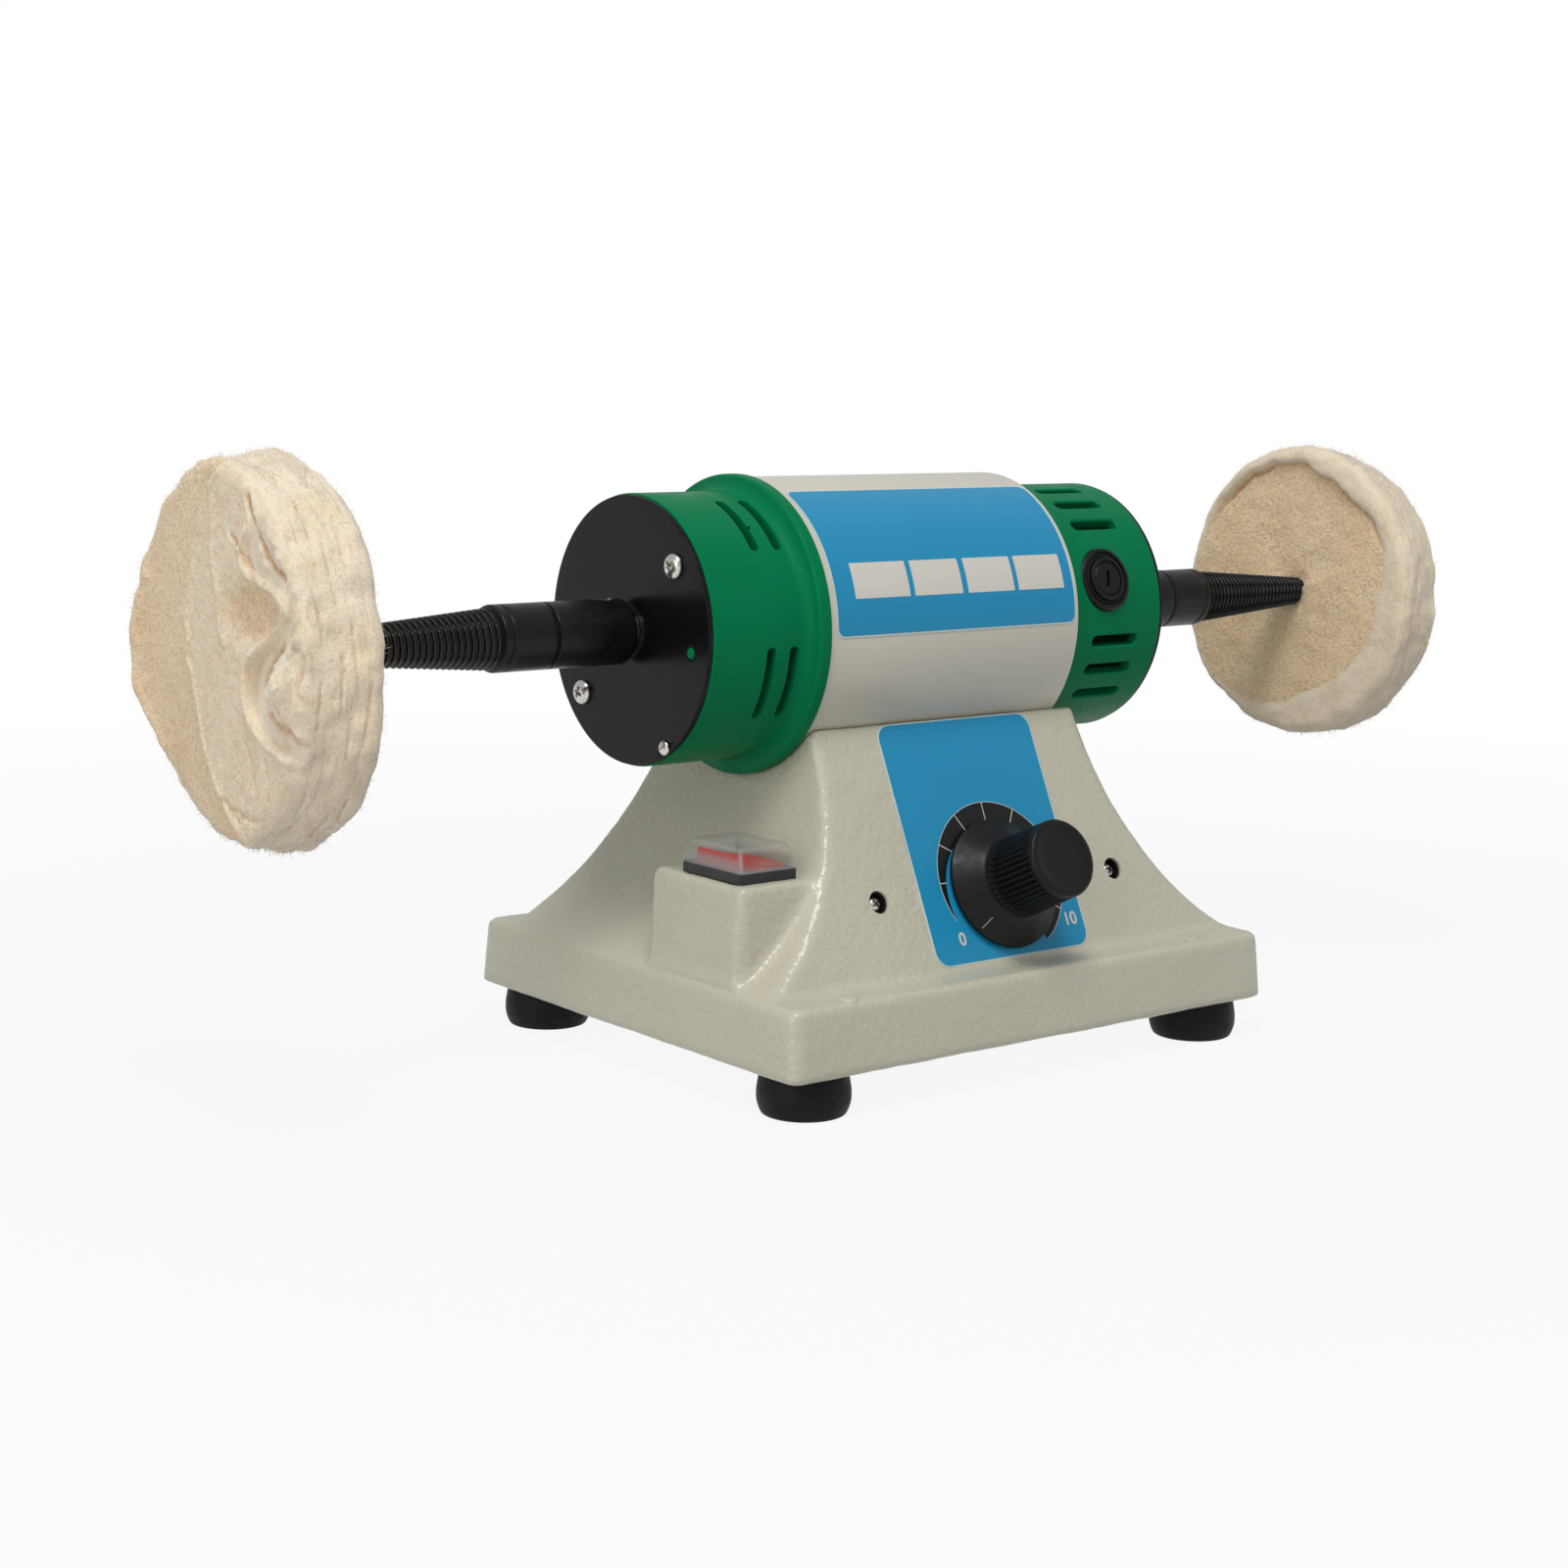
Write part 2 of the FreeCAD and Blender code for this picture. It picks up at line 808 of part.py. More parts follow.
def straight_vent(centre):
    """A slot with round ends that runs along the cap."""
    inner = cap_inner_radius - overrun
    outer = cap_radius + overrun
    half = straight_vent_width / 2
    start = tube_right + straight_vent_start
    middle = box(start + half, start + straight_vent_length - half, -outer, -inner, -half, half)
    ends = []
    for x in (start + half, start + straight_vent_length - half):
        ends.append(Part.makeCylinder(half, outer - inner, V(x, -outer, 0), Y_AXIS))
    return at_clock(fused([middle] + ends), centre)


def bearing_boss(x_wall, x_open):
    """The ring inside a cap that a bearing sits in."""
    low = min(x_wall, x_open)
    high = max(x_wall, x_open)
    return rod(low, high, bearing_boss_radius)


def left_end_cap():
    """The left cap, with its rolled flange and pairs of curved vents."""
    step_start = tube_left - flange_length - flange_step_length
    profile = [
        (left_cap_end, 0),
        (left_cap_end, cap_radius),
        (step_start, cap_radius),
        (step_start + flange_step_length / 4, flange_step_radius),
        (tube_left - flange_length, flange_step_radius),
        (tube_left - flange_length * 3 / 4, flange_radius),
        (tube_left, flange_radius),
        (tube_left, tube_radius - tube_wall - fit_gap),
        (tube_left + spigot_length, tube_radius - tube_wall - fit_gap),
        (tube_left + spigot_length, cap_inner_radius),
        (left_bearing_end, cap_inner_radius),
        (left_bearing_end, 0),
    ]
    shell = turned_x(profile)
    boss_open = left_bearing_end + bearing_width
    cap = fused([shell, bearing_boss(left_bearing_end, boss_open)])
    cuts = [
        rod(left_bearing_end, boss_open + overrun, bearing_outer_radius),
        rod(left_cap_end - overrun, boss_open, disc_bore_radius),
    ]
    for base in (clock_angle, clock_angle + half_turn):
        for side in (-vent_offset_angle, vent_offset_angle):
            for step in range(2):
                x = left_cap_end + curved_vent_first + step * curved_vent_pitch
                cuts.append(curved_vent(x, base + side))
    bolts, free = screw_angles()
    for angle in bolts:
        cuts.append(towards(
            left_cap_end - overrun, left_bearing_end + overrun, tie_bolt_radius + fit_gap,
            screw_circle_radius, angle))
    cuts.append(towards(
        left_cap_end - overrun, left_cap_end + cover_screw_length, edge_screw_radius,
        edge_screw_circle_radius, edge_screw_angle))
    return on_motor_axis(cut_by(cap, cuts))


def right_end_cap():
    """The right cap, with straight vents and the bosses for the brush gear."""
    bolts, free = screw_angles()
    profile = [
        (right_cap_end, 0),
        (right_cap_end, cap_radius),
        (tube_right, cap_radius),
        (tube_right, tube_radius - tube_wall - fit_gap),
        (tube_right - spigot_length, tube_radius - tube_wall - fit_gap),
        (tube_right - spigot_length, cap_inner_radius),
        (right_bearing_end, cap_inner_radius),
        (right_bearing_end, 0),
    ]
    shell = turned_x(profile)
    boss_open = right_bearing_end - bearing_width
    pads = []
    low = cap_radius - brush_collar_depth
    for pad in opposite_pair(brush_rod(low, cap_radius - brush_boss_sink, brush_boss_radius)):
        pads.append(pad)
    cap = fused([shell, bearing_boss(right_bearing_end, boss_open)] + pads)
    cuts = [
        rod(boss_open - overrun, right_bearing_end, bearing_outer_radius),
        rod(boss_open, right_cap_end + overrun, disc_bore_radius),
    ]
    cuts.extend(opposite_pair(brush_rod(low - overrun, cap_radius + overrun, brush_collar_radius + fit_gap)))
    for base in (clock_angle, clock_angle + half_turn):
        for side in (-straight_vent_offset_angle, straight_vent_offset_angle):
            for step in (-1, 0, 1):
                cuts.append(straight_vent(base + side + step * straight_vent_step_angle))
    for angle in bolts:
        cuts.append(towards(
            right_bearing_end - overrun, tie_bolt_end() + fit_gap, tie_bolt_radius + fit_gap,
            screw_circle_radius, angle))
    for angle in free:
        cuts.append(towards(
            right_cap_end - cover_screw_length, right_cap_end + overrun, tie_bolt_radius,
            screw_circle_radius, angle))
    return on_motor_axis(cut_by(cap, cuts))


def tie_bolt_end():
    """How far the through bolts reach into the right cap's end wall."""
    return right_bearing_end + cap_end_wall * 3 / 4


def cover_disc(x0, x1, extra_holes):
    """A flat cover with a middle bore and four screw holes."""
    bolts, free = screw_angles()
    disc = rod(x0, x1, disc_radius)
    cuts = [rod(x0 - overrun, x1 + overrun, disc_bore_radius)]
    for angle in bolts + free:
        cuts.append(towards(
            x0 - overrun, x1 + overrun, tie_bolt_radius + fit_gap, screw_circle_radius, angle))
    return on_motor_axis(cut_by(disc, cuts + extra_holes))


def left_cover_disc():
    """The black disc over the left cap."""
    hole = towards(
        left_face - overrun, left_cap_end + overrun, edge_screw_radius + fit_gap, edge_screw_circle_radius,
        edge_screw_angle)
    return cover_disc(left_face, left_cap_end, [hole])


def right_cover_disc():
    """The black disc over the right cap."""
    return cover_disc(right_cap_end, right_face, [])


def pan_head(radius, height):
    """A domed screw head with a cross slot, on the YZ plane, facing -X."""
    crown = height / 2
    profile = [
        (0, 0), (0, radius), (-crown, radius), (-height * 5 / 6, radius * 3 / 4),
        (-height, radius * 3 / 8), (-height, 0)]
    head = turned_x(profile)
    half = cross_slot_width / 2
    reach = radius * 3 / 5
    deep = -height + cross_slot_depth
    across = box(-height - overrun, deep, -reach, reach, -half, half)
    along = box(-height - overrun, deep, -half, half, -reach, reach)
    return cut_by(head, [across, along])


def tie_bolts():
    """The two long bolts that clamp cap, stator and cap."""
    bolts, free = screw_angles()
    bolt = fused([moved(pan_head(pan_head_radius, pan_head_height), x=left_face), rod(
        left_face, tie_bolt_end(), tie_bolt_radius)])
    bolt = moved(bolt, y=-screw_circle_radius)
    return grouped([on_motor_axis(at_clock(bolt, angle)) for angle in bolts])


def cover_screws():
    """The right disc's two screws and the left disc's small edge screw."""
    bolts, free = screw_angles()
    head = turned_by(moved(pan_head(pan_head_radius, pan_head_height), x=-right_face), half_turn, Z_AXIS)
    screw = fused([head, rod(right_cap_end - cover_screw_length, right_face, tie_bolt_radius)])
    screw = moved(screw, y=-screw_circle_radius)
    small = fused([
        moved(pan_head(edge_screw_head_radius, edge_screw_head_height), x=left_face),
        rod(left_face, left_cap_end + cover_screw_length, edge_screw_radius)])
    small = at_clock(moved(small, y=-edge_screw_circle_radius), edge_screw_angle)
    return grouped([on_motor_axis(at_clock(screw, angle)) for angle in free] + [on_motor_axis(small)])


# Stator and armature

def stator_core():
    """A two-pole stack with its poles on the through bolts."""
    yoke = rod(core_left, core_right, tube_radius - tube_wall - fit_gap).cut(rod(
        core_left, core_right, yoke_inner_radius))
    half = pole_neck_width / 2
    neck = box(core_left, core_right, -yoke_inner_radius - overrun / 2, -stator_bore_radius, -half, half)
    shoe = face_of([
        V(core_left, -stator_bore_radius, 0), V(core_right, -stator_bore_radius, 0),
        V(core_right, -pole_shoe_radius, 0), V(core_left, -pole_shoe_radius, 0)])
    shoe = turned_by(shoe.revolve(ORIGIN, X_AXIS, pole_shoe_span), -pole_shoe_span / 2)
    pole = fused([neck, shoe])
    bore = rod(core_left - overrun, core_right + overrun, stator_bore_radius)
    hole = rod(core_left - overrun, core_right + overrun, tie_bolt_radius + fit_gap, y=-screw_circle_radius)
    core = fused([yoke] + opposite_pair(pole))
    core = cut_by(core, [bore] + opposite_pair(hole))
    bolts, free = screw_angles()
    return on_motor_axis(at_clock(core, bolts[0]))


def field_coils():
    """Two coils, one round each pole's neck."""
    half_in = pole_neck_width / 2 + coil_gap
    half_out = half_in + coil_width
    far = -coil_inner_height - coil_height
    inner_left = core_left - coil_overhang + coil_width
    inner_right = core_right + coil_overhang - coil_width
    block = box(
        core_left - coil_overhang, core_right + coil_overhang, far, -coil_inner_height, -half_out, half_out)
    along_y = [
        edge for edge in block.Edges
        if edge.BoundBox.YLength > coil_height / 2 and edge.BoundBox.XLength < coil_gap]
    level = [edge for edge in along_y if edge.BoundBox.ZLength < coil_gap]
    block = block.makeFillet(coil_round + coil_width, level)
    window = box(inner_left, inner_right, far - overrun, -coil_inner_height + overrun, -half_in, half_in)
    coil = block.cut(window)
    bolts, free = screw_angles()
    return grouped([on_motor_axis(at_clock(shape, bolts[0])) for shape in opposite_pair(coil)])


def armature_slot(x0, x1, width, floor, top):
    """One slot-shaped bar, from a floor radius to a top radius."""
    return box(x0, x1, -top, -floor, -width / 2, width / 2)


def armature_core():
    """The slotted stack on the shaft."""
    floor = armature_radius - armature_slot_depth
    core = rod(core_left, core_right, armature_radius).cut(rod(core_left, core_right, shaft_body_radius))
    slot = armature_slot(
        core_left - overrun, core_right + overrun, armature_slot_width, floor, armature_radius + overrun)
    return on_motor_axis(cut_by(core, round_pattern(slot, armature_slots)))


def armature_windings():
    """The wound bundles at both ends and their bars in the slots."""
    inner = shaft_body_radius + winding_gap
    outer = armature_radius - armature_slot_width / 2
    floor = armature_radius - armature_slot_depth + winding_gap
    left_end = core_left - winding_overhang
    right_end = core_right + winding_overhang
    left = turned_x([
        (core_left, inner), (core_left, outer), (left_end + winding_overhang / 4, outer),
        (left_end, outer - winding_overhang / 4), (left_end, inner)])
    right = turned_x([
        (core_right, inner), (core_right, outer), (right_end - winding_overhang / 4, outer),
        (right_end + winding_overhang / 4, winding_neck_radius),
        (commutator_left - winding_gap, winding_neck_radius),
        (commutator_left - winding_gap, inner)])
    bar = armature_slot(
        core_left - winding_gap, core_right + winding_gap, armature_slot_width - 2 * winding_gap, floor,
        outer)
    return on_motor_axis(fused([left, right] + round_pattern(bar, armature_slots)))


def commutator():
    """The copper bars, parted by thin slots."""
    ring = turned_x([
        (commutator_left, commutator_hub_radius), (commutator_left, riser_radius),
        (commutator_left + riser_length, riser_radius), (commutator_left + riser_length, commutator_radius),
        (commutator_right, commutator_radius), (commutator_right, commutator_hub_radius)])
    floor = commutator_radius - bar_slot_depth
    slot = box(
        commutator_left - overrun, commutator_right + overrun, -riser_radius - overrun, -floor,
        -bar_slot_width / 2, bar_slot_width / 2)
    return on_motor_axis(cut_by(ring, round_pattern(slot, commutator_bars)))


def commutator_hub():
    """The moulded hub between the shaft and the bars."""
    hub = rod(commutator_left, commutator_right, commutator_hub_radius)
    return on_motor_axis(hub.cut(rod(commutator_left, commutator_right, shaft_body_radius)))


def motor_shaft():
    """The shaft, thicker between its bearings."""
    left_shoulder = left_bearing_end + bearing_width
    right_shoulder = right_bearing_end - bearing_width
    end = spindle_start + shaft_grip_length
    return on_motor_axis(fused([rod(-end, end, shaft_radius), rod(
        left_shoulder, right_shoulder, shaft_body_radius)]))


def race(x0, inner, outer):
    """A bearing ring with the balls' groove turned in it."""
    ring = rod(x0, x0 + bearing_width, outer).cut(rod(x0, x0 + bearing_width, inner))
    groove = Part.makeTorus(
        bearing_pitch_radius, ball_radius + moving_gap, V(x0 + bearing_width / 2, 0, 0), X_AXIS)
    return on_motor_axis(ring.cut(groove))


def bearing_inner(x0):
    """The ring that turns with the shaft."""
    return race(x0, shaft_radius, shaft_radius + bearing_ring_wall)


def bearing_outer(x0):
    """The ring that stays in the cap."""
    return race(x0, bearing_outer_radius - bearing_ring_wall, bearing_outer_radius)


def bearing_balls(x0):
    """The balls and their cage, which creep round at their own speed."""
    middle = x0 + bearing_width / 2
    balls = round_pattern(Part.makeSphere(ball_radius, V(middle, -bearing_pitch_radius, 0)), ball_count)
    cage = rod(middle - cage_width / 2, middle + cage_width / 2, bearing_pitch_radius + cage_thickness / 2)
    cage = cage.cut(rod(middle - cage_width, middle + cage_width, bearing_pitch_radius - cage_thickness / 2))
    cage = cut_by(cage, balls)
    return on_motor_axis(grouped(balls + [cage]))


def cooling_fan():
    """A bladed wheel on the shaft behind the left cap's vents."""
    left = fan_centre - fan_length / 2
    right = fan_centre + fan_length / 2
    hub = rod(left, right, fan_hub_radius)
    plate = rod(right - fan_plate_thickness, right, fan_radius)
    blade = box(
        left + fan_plate_thickness, right, -fan_radius, -fan_hub_radius + overrun,
        -fan_blade_thickness / 2, fan_blade_thickness / 2)
    wheel = fused([hub, plate] + round_pattern(blade, fan_blades))
    return on_motor_axis(wheel.cut(rod(left - overrun, right + overrun, shaft_body_radius)))


# Brush gear, drawn along the front brush line

def brush_rod(low, high, radius):
    """A round bar on the brush line, between two distances from the axis."""
    bar = Part.makeCylinder(radius, high - low, V(brush_centre, -high, 0), Y_AXIS)
    return at_clock(bar, clock_angle)


def brush_face():
    """How far the brush's working face is from the axis."""
    return commutator_radius + moving_gap


def brush_back():
    """How far the brush's back is from the axis."""
    return brush_face() + brush_length


def brush_cap_face():
    """How far the collar's outer face, under the cap's head, is from the axis."""
    return cap_radius + brush_collar_stand


def brush_holders():
    """The moulded holders, each a collar in the cap and a tube towards the shaft."""
    low = commutator_radius + brush_tube_clearance
    collar = brush_rod(brush_cap_face() - brush_collar_depth, brush_cap_face(), brush_collar_radius)
    tube = brush_rod(low, brush_cap_face() - brush_collar_depth, brush_tube_radius)
    bore = brush_rod(low - overrun, brush_cap_face() + overrun, brush_bore_radius)
    thread = brush_rod(brush_cap_face() - brush_cap_length, brush_cap_face() + overrun, brush_cap_radius)
    holder = cut_by(fused([collar, tube]), [bore, thread])
    return grouped([on_motor_axis(shape) for shape in opposite_pair(holder)])


def carbon_brushes():
    """The two square brushes."""
    half_x = brush_width / 2
    half_z = brush_thickness / 2
    brush = box(brush_centre - half_x, brush_centre + half_x, -brush_back(), -brush_face(), -half_z, half_z)
    return grouped([on_motor_axis(shape) for shape in opposite_pair(at_clock(brush, clock_angle))])


def brush_springs():
    """The coil springs that press the brushes, one unbroken wire each."""
    low = brush_back() + spring_wire_radius
    high = brush_cap_face() - brush_cap_length - spring_wire_radius
    steps = 4 * spring_turns

    def on_helix(turn_share):
        angle = 2 * math.pi * spring_turns * turn_share
        y = -low - (high - low) * turn_share
        return V(brush_centre + spring_coil_radius * math.cos(angle), y, spring_coil_radius * math.sin(angle))
    arcs = []
    for step in range(steps):
        a = on_helix(step / steps)
        b = on_helix((step + 1 / 2) / steps)
        c = on_helix((step + 1) / steps)
        arcs.append(Part.Arc(a, b, c).toShape())
    path = Part.Wire(arcs)
    start = path.Edges[0]
    ring = Part.Circle(on_helix(0), start.tangentAt(start.FirstParameter), spring_wire_radius)
    spring = path.makePipeShell([Part.Wire(ring.toShape())], True, False)
    return grouped([on_motor_axis(shape) for shape in opposite_pair(at_clock(spring, clock_angle))])


def brush_caps():
    """The slotted caps that hold the springs in."""
    face = brush_cap_face()
    plug = brush_rod(face - brush_cap_length, face, brush_cap_radius)
    head = brush_rod(face, face + brush_cap_head_height, brush_cap_head_radius)
    half = brush_cap_slot_width / 2
    reach = brush_cap_head_radius * 2 / 3
    top = face + brush_cap_head_height
    slot = box(
        brush_centre - half, brush_centre + half, -top - overrun, -top + brush_cap_slot_depth, -reach,
        reach)
    cap = fused([plug, head]).cut(at_clock(slot, clock_angle))
    return grouped([on_motor_axis(shape) for shape in opposite_pair(cap)])


# Spindles and buffs, drawn at the right end

def taper_radius_at(x):
    """The taper's outer radius at a place along it."""
    share = (x - taper_start) / taper_length
    return taper_root_radius + (taper_tip_radius - taper_root_radius) * share


def spindle():
    """A sleeve with a set screw hole and a threaded taper."""
    groove = spindle_start + sleeve_groove_place
    half = sleeve_groove_width / 2
    collar = taper_start - sleeve_collar_length
    profile = [
        (spindle_start, 0),
        (spindle_start, spindle_radius - sleeve_chamfer),
        (spindle_start + sleeve_chamfer, spindle_radius),
        (groove - half, spindle_radius),
        (groove, spindle_radius - sleeve_groove_depth),
        (groove + half, spindle_radius),
        (collar - half, spindle_radius),
        (collar, spindle_radius - sleeve_groove_depth),
        (collar + half, spindle_radius),
        (taper_start - sleeve_groove_width, spindle_radius),
        (taper_start, taper_root_radius - thread_depth),
    ]
    for turn in range(int((taper_length - tip_length) / thread_pitch)):
        crest = taper_start + (turn + 1 / 2) * thread_pitch
        root = taper_start + (turn + 1) * thread_pitch
        profile.append((crest, taper_radius_at(crest)))
        profile.append((root, taper_radius_at(root) - thread_depth))
    profile.append((taper_end, taper_tip_radius / 2))
    profile.append((taper_end, 0))
    body = turned_x(profile)
    bore = rod(spindle_start - overrun, spindle_start + shaft_grip_length + fit_gap, shaft_radius)
    hole = post(spindle_start + set_screw_place, 0, 0, spindle_radius + overrun, set_screw_radius)
    return cut_by(body, [bore, hole])


def set_screw():
    """A grub screw with a hexagon socket, on the top of a sleeve."""
    x = spindle_start + set_screw_place
    top = spindle_radius - set_screw_sink
    screw = post(x, 0, shaft_radius, top, set_screw_radius)
    socket = moved(
        hexagon(set_screw_socket_radius, set_screw_socket_depth + overrun), x, 0,
        top - set_screw_socket_depth)
    return screw.cut(socket)


def set_screws():
    """Both grub screws."""
    return grouped([on_motor_axis(set_screw()), on_motor_axis(flipped_x(set_screw()))])


def buff(outer_x):
    """A stack of cloth discs on the right taper, parted at the rim."""
    inner_x = outer_x - buff_thickness
    ply = buff_thickness / buff_plies
    half = ply_groove_width / 2
    rim = buff_radius
    profile = [(inner_x, 0), (inner_x, rim - buff_shoulder), (inner_x + half, rim - half)]
    for step in range(1, buff_plies):
        x = inner_x + step * ply
        drop = buff_shoulder * abs(2 * step / buff_plies - 1) / 2
        profile.append((x - half, rim - drop))
        profile.append((x, rim - drop - ply_groove_depth))
        profile.append((x + half, rim - drop))
    profile.extend([(outer_x - half, rim - half), (outer_x, rim - buff_shoulder), (outer_x, 0)])
    stack = turned_x(profile)
    before = inner_x - overrun
    deepest = min(outer_x + overrun, taper_end)
    bore = turned_x([
        (before, 0), (before, taper_radius_at(before) + moving_gap),
        (deepest, taper_radius_at(deepest) + moving_gap), (deepest, 0)])
    return on_motor_axis(stack.cut(bore))


# Control panel, drawn flat and then stood on the leaning face

def dial_plate():
    """The thin plate behind the knob."""
    plate = rounded_plate(dial_plate_width, dial_plate_height, dial_plate_thickness, dial_plate_round)
    plate = moved(plate, dial_plate_x, dial_plate_foot + dial_plate_height / 2)
    hole = post(control_x, control_rise, -overrun, overrun, bushing_radius + fit_gap)
    return on_panel(plate.cut(hole))


def panel_screws():
    """The two sunk screws beside the dial plate."""
    screws = []
    for side in (-panel_screw_spread, panel_screw_spread):
        x = control_x + side
        seat = -panel_screw_well_depth
        head = post(x, control_rise, seat, seat + panel_screw_head_height, panel_screw_head_radius)
        slot_half = cross_slot_width / 2
        reach = panel_screw_head_radius * 2 / 3
        top = seat + panel_screw_head_height
        slots = [
            box(x - reach, x + reach, control_rise - slot_half, control_rise + slot_half,
                top - cross_slot_depth, top + overrun),
            box(x - slot_half, x + slot_half, control_rise - reach, control_rise + reach,
                top - cross_slot_depth, top + overrun)]
        shank = post(x, control_rise, bracket_back, seat, panel_screw_radius)
        screws.append(on_panel(cut_by(fused([head, shank]), slots)))
    return grouped(screws)


def control_bracket():
    """The strip behind the panel that the potentiometer and board hang on."""
    half = bracket_width / 2
    low = control_rise - bracket_height / 2
    strip = box(control_x - half, control_x + half, low, low + bracket_height, bracket_back, panel_back)
    holes = [post(control_x, control_rise, bracket_back - overrun, overrun, bushing_radius + fit_gap)]
    for side in (-panel_screw_spread, panel_screw_spread):
        holes.append(post(
            control_x + side, control_rise, bracket_back - overrun, overrun, panel_screw_radius))
    return on_panel(cut_by(strip, holes))


def pot_case():
    """The potentiometer's case and its threaded bushing."""
    low = bracket_back - pot_depth
    case = post(control_x, control_rise, low, bracket_back, pot_radius)
    top = dial_plate_thickness + pot_nut_height + bushing_stand
    bushing = post(control_x, control_rise, bracket_back, top, bushing_radius)
    room = post(control_x, control_rise, low + pot_wall, bracket_back - pot_wall, pot_radius - pot_wall)
    bore = post(control_x, control_rise, low + pot_wall, top + overrun, pot_shaft_radius + running_gap)
    return on_panel(cut_by(fused([case, bushing]), [room, bore]))


def pot_nut():
    """The nut that clamps the potentiometer to the panel."""
    nut = moved(hexagon(pot_nut_radius, pot_nut_height), control_x, control_rise, dial_plate_thickness)
    hole = post(control_x, control_rise, 0, overrun + pot_nut_height, bushing_radius)
    return on_panel(nut.cut(hole))


def pot_shaft():
    """The turning shaft with the wiper disc inside the case."""
    low = bracket_back - pot_depth + pot_wall + moving_gap
    high = knob_bottom() + knob_bore_depth
    wiper_top = bracket_back - pot_wall - moving_gap
    shaft = post(control_x, control_rise, low, high, pot_shaft_radius)
    wiper = post(control_x, control_rise, wiper_top - wiper_thickness, wiper_top, wiper_radius)
    return on_panel(fused([shaft, wiper]))


def knob_bottom():
    """The height of the knob's underside above the panel."""
    return dial_plate_thickness + visible_gap


def knob_profile_radius():
    """The radius where the skirt's cone meets the grip."""
    return knob_grip_radius + flute_radius


def speed_knob():
    """A fluted grip on a flared skirt."""
    low = knob_bottom()
    edge = low + knob_skirt_edge
    cone_top = low + knob_cone_height
    hollow_top = low + knob_hollow_height
    profile = [
        (pot_shaft_radius, hollow_top),
        (knob_hollow_radius, hollow_top),
        (knob_hollow_radius, low),
        (knob_skirt_radius, low),
        (knob_skirt_radius, edge),
        (knob_profile_radius(), cone_top),
        (knob_grip_radius, cone_top + flute_radius),
        (knob_grip_top_radius, knob_height - knob_bevel),
        (knob_grip_top_radius - knob_bevel, knob_height),
        (0, knob_height),
        (0, low + knob_bore_depth),
        (pot_shaft_radius, low + knob_bore_depth),
    ]
    body = turned_z(profile)
    flute = Part.makeCylinder(
        flute_radius, knob_height,
        V(knob_grip_radius + flute_radius / 4, 0, cone_top + flute_end_margin), Z_AXIS)
    stop = knob_height - knob_bevel - flute_end_margin
    flute = flute.common(post(0, 0, 0, stop, knob_skirt_radius))
    body = cut_by(body, round_pattern(flute, flute_count, Z_AXIS))
    return on_panel(moved(body, control_x, control_rise))


def knob_pointer():
    """The white line on the skirt that shows the setting."""
    low = knob_bottom()
    edge = low + knob_skirt_edge
    cone_top = low + knob_cone_height
    outer = knob_skirt_radius - pointer_margin
    inner = knob_profile_radius() + pointer_margin
    fall_share = (cone_top - edge) / (knob_skirt_radius - knob_profile_radius())
    outer_z = edge + fall_share * (knob_skirt_radius - outer)
    inner_z = edge + fall_share * (knob_skirt_radius - inner)
    half = pointer_width / 2
    strip = face_of([
        V(outer, -half, outer_z), V(inner, -half, inner_z),
        V(inner, -half, inner_z + pointer_thickness), V(outer, -half, outer_z + pointer_thickness)])
    strip = strip.extrude(V(0, pointer_width, 0))
    cone = turned_z([
        (0, low), (knob_skirt_radius, low), (knob_skirt_radius, edge), (knob_profile_radius(), cone_top),
        (0, cone_top)])
    strip = turned_by(strip.cut(cone), pointer_angle, Z_AXIS)
    return on_panel(moved(strip, control_x, control_rise))


def board_places():
    """The middles of the four board spacers."""
    half_x = board_width / 2 - spacer_margin
    half_rise = bracket_height / 2 - spacer_margin
    return [(control_x + x, control_rise + y) for x in (-half_x, half_x) for y in (-half_rise, half_rise)]


def control_board():
    """The circuit board behind the bracket."""
    half = board_width / 2
    low = board_rise - board_height / 2
    return on_panel(box(control_x - half, control_x + half, low, low + board_height, board_back, board_front))


def board_spacers():
    """The posts between bracket and board."""
    return grouped([
        on_panel(post(x, y, board_front, bracket_back, spacer_radius)) for x, y in board_places()])


def heat_sink():
    """The finned plate that cools the triac."""
    left = control_x + heat_sink_x - heat_sink_width / 2
    right = left + heat_sink_width
    deep = board_back - heat_sink_depth
    plate = box(left, right, board_rise, board_rise + heat_sink_plate, deep, board_back)
    pitch = (heat_sink_width - heat_sink_fin) / (heat_sink_fins - 1)
    fins = []
    for step in range(heat_sink_fins):
        x = left + step * pitch
        top = board_rise + heat_sink_plate + heat_sink_fin_height
        fins.append(box(x, x + heat_sink_fin, board_rise, top, deep, board_back))
    return on_panel(fused([plate] + fins))


def triac():
    """The power switch under the heat sink's plate."""
    half = triac_width / 2
    x = control_x + heat_sink_x
    middle = board_back - heat_sink_depth / 2
    low = board_rise - triac_thickness
    return on_panel(box(
        x - half, x + half, low, board_rise, middle - triac_depth / 2, middle + triac_depth / 2))


def suppression_capacitor():
    """The box capacitor on the board."""
    half = capacitor_width / 2
    x = control_x + capacitor_x
    low = board_rise - capacitor_height / 2
    return on_panel(box(
        x - half, x + half, low, low + capacitor_height, board_back - capacitor_depth, board_back))


# Rocker switch

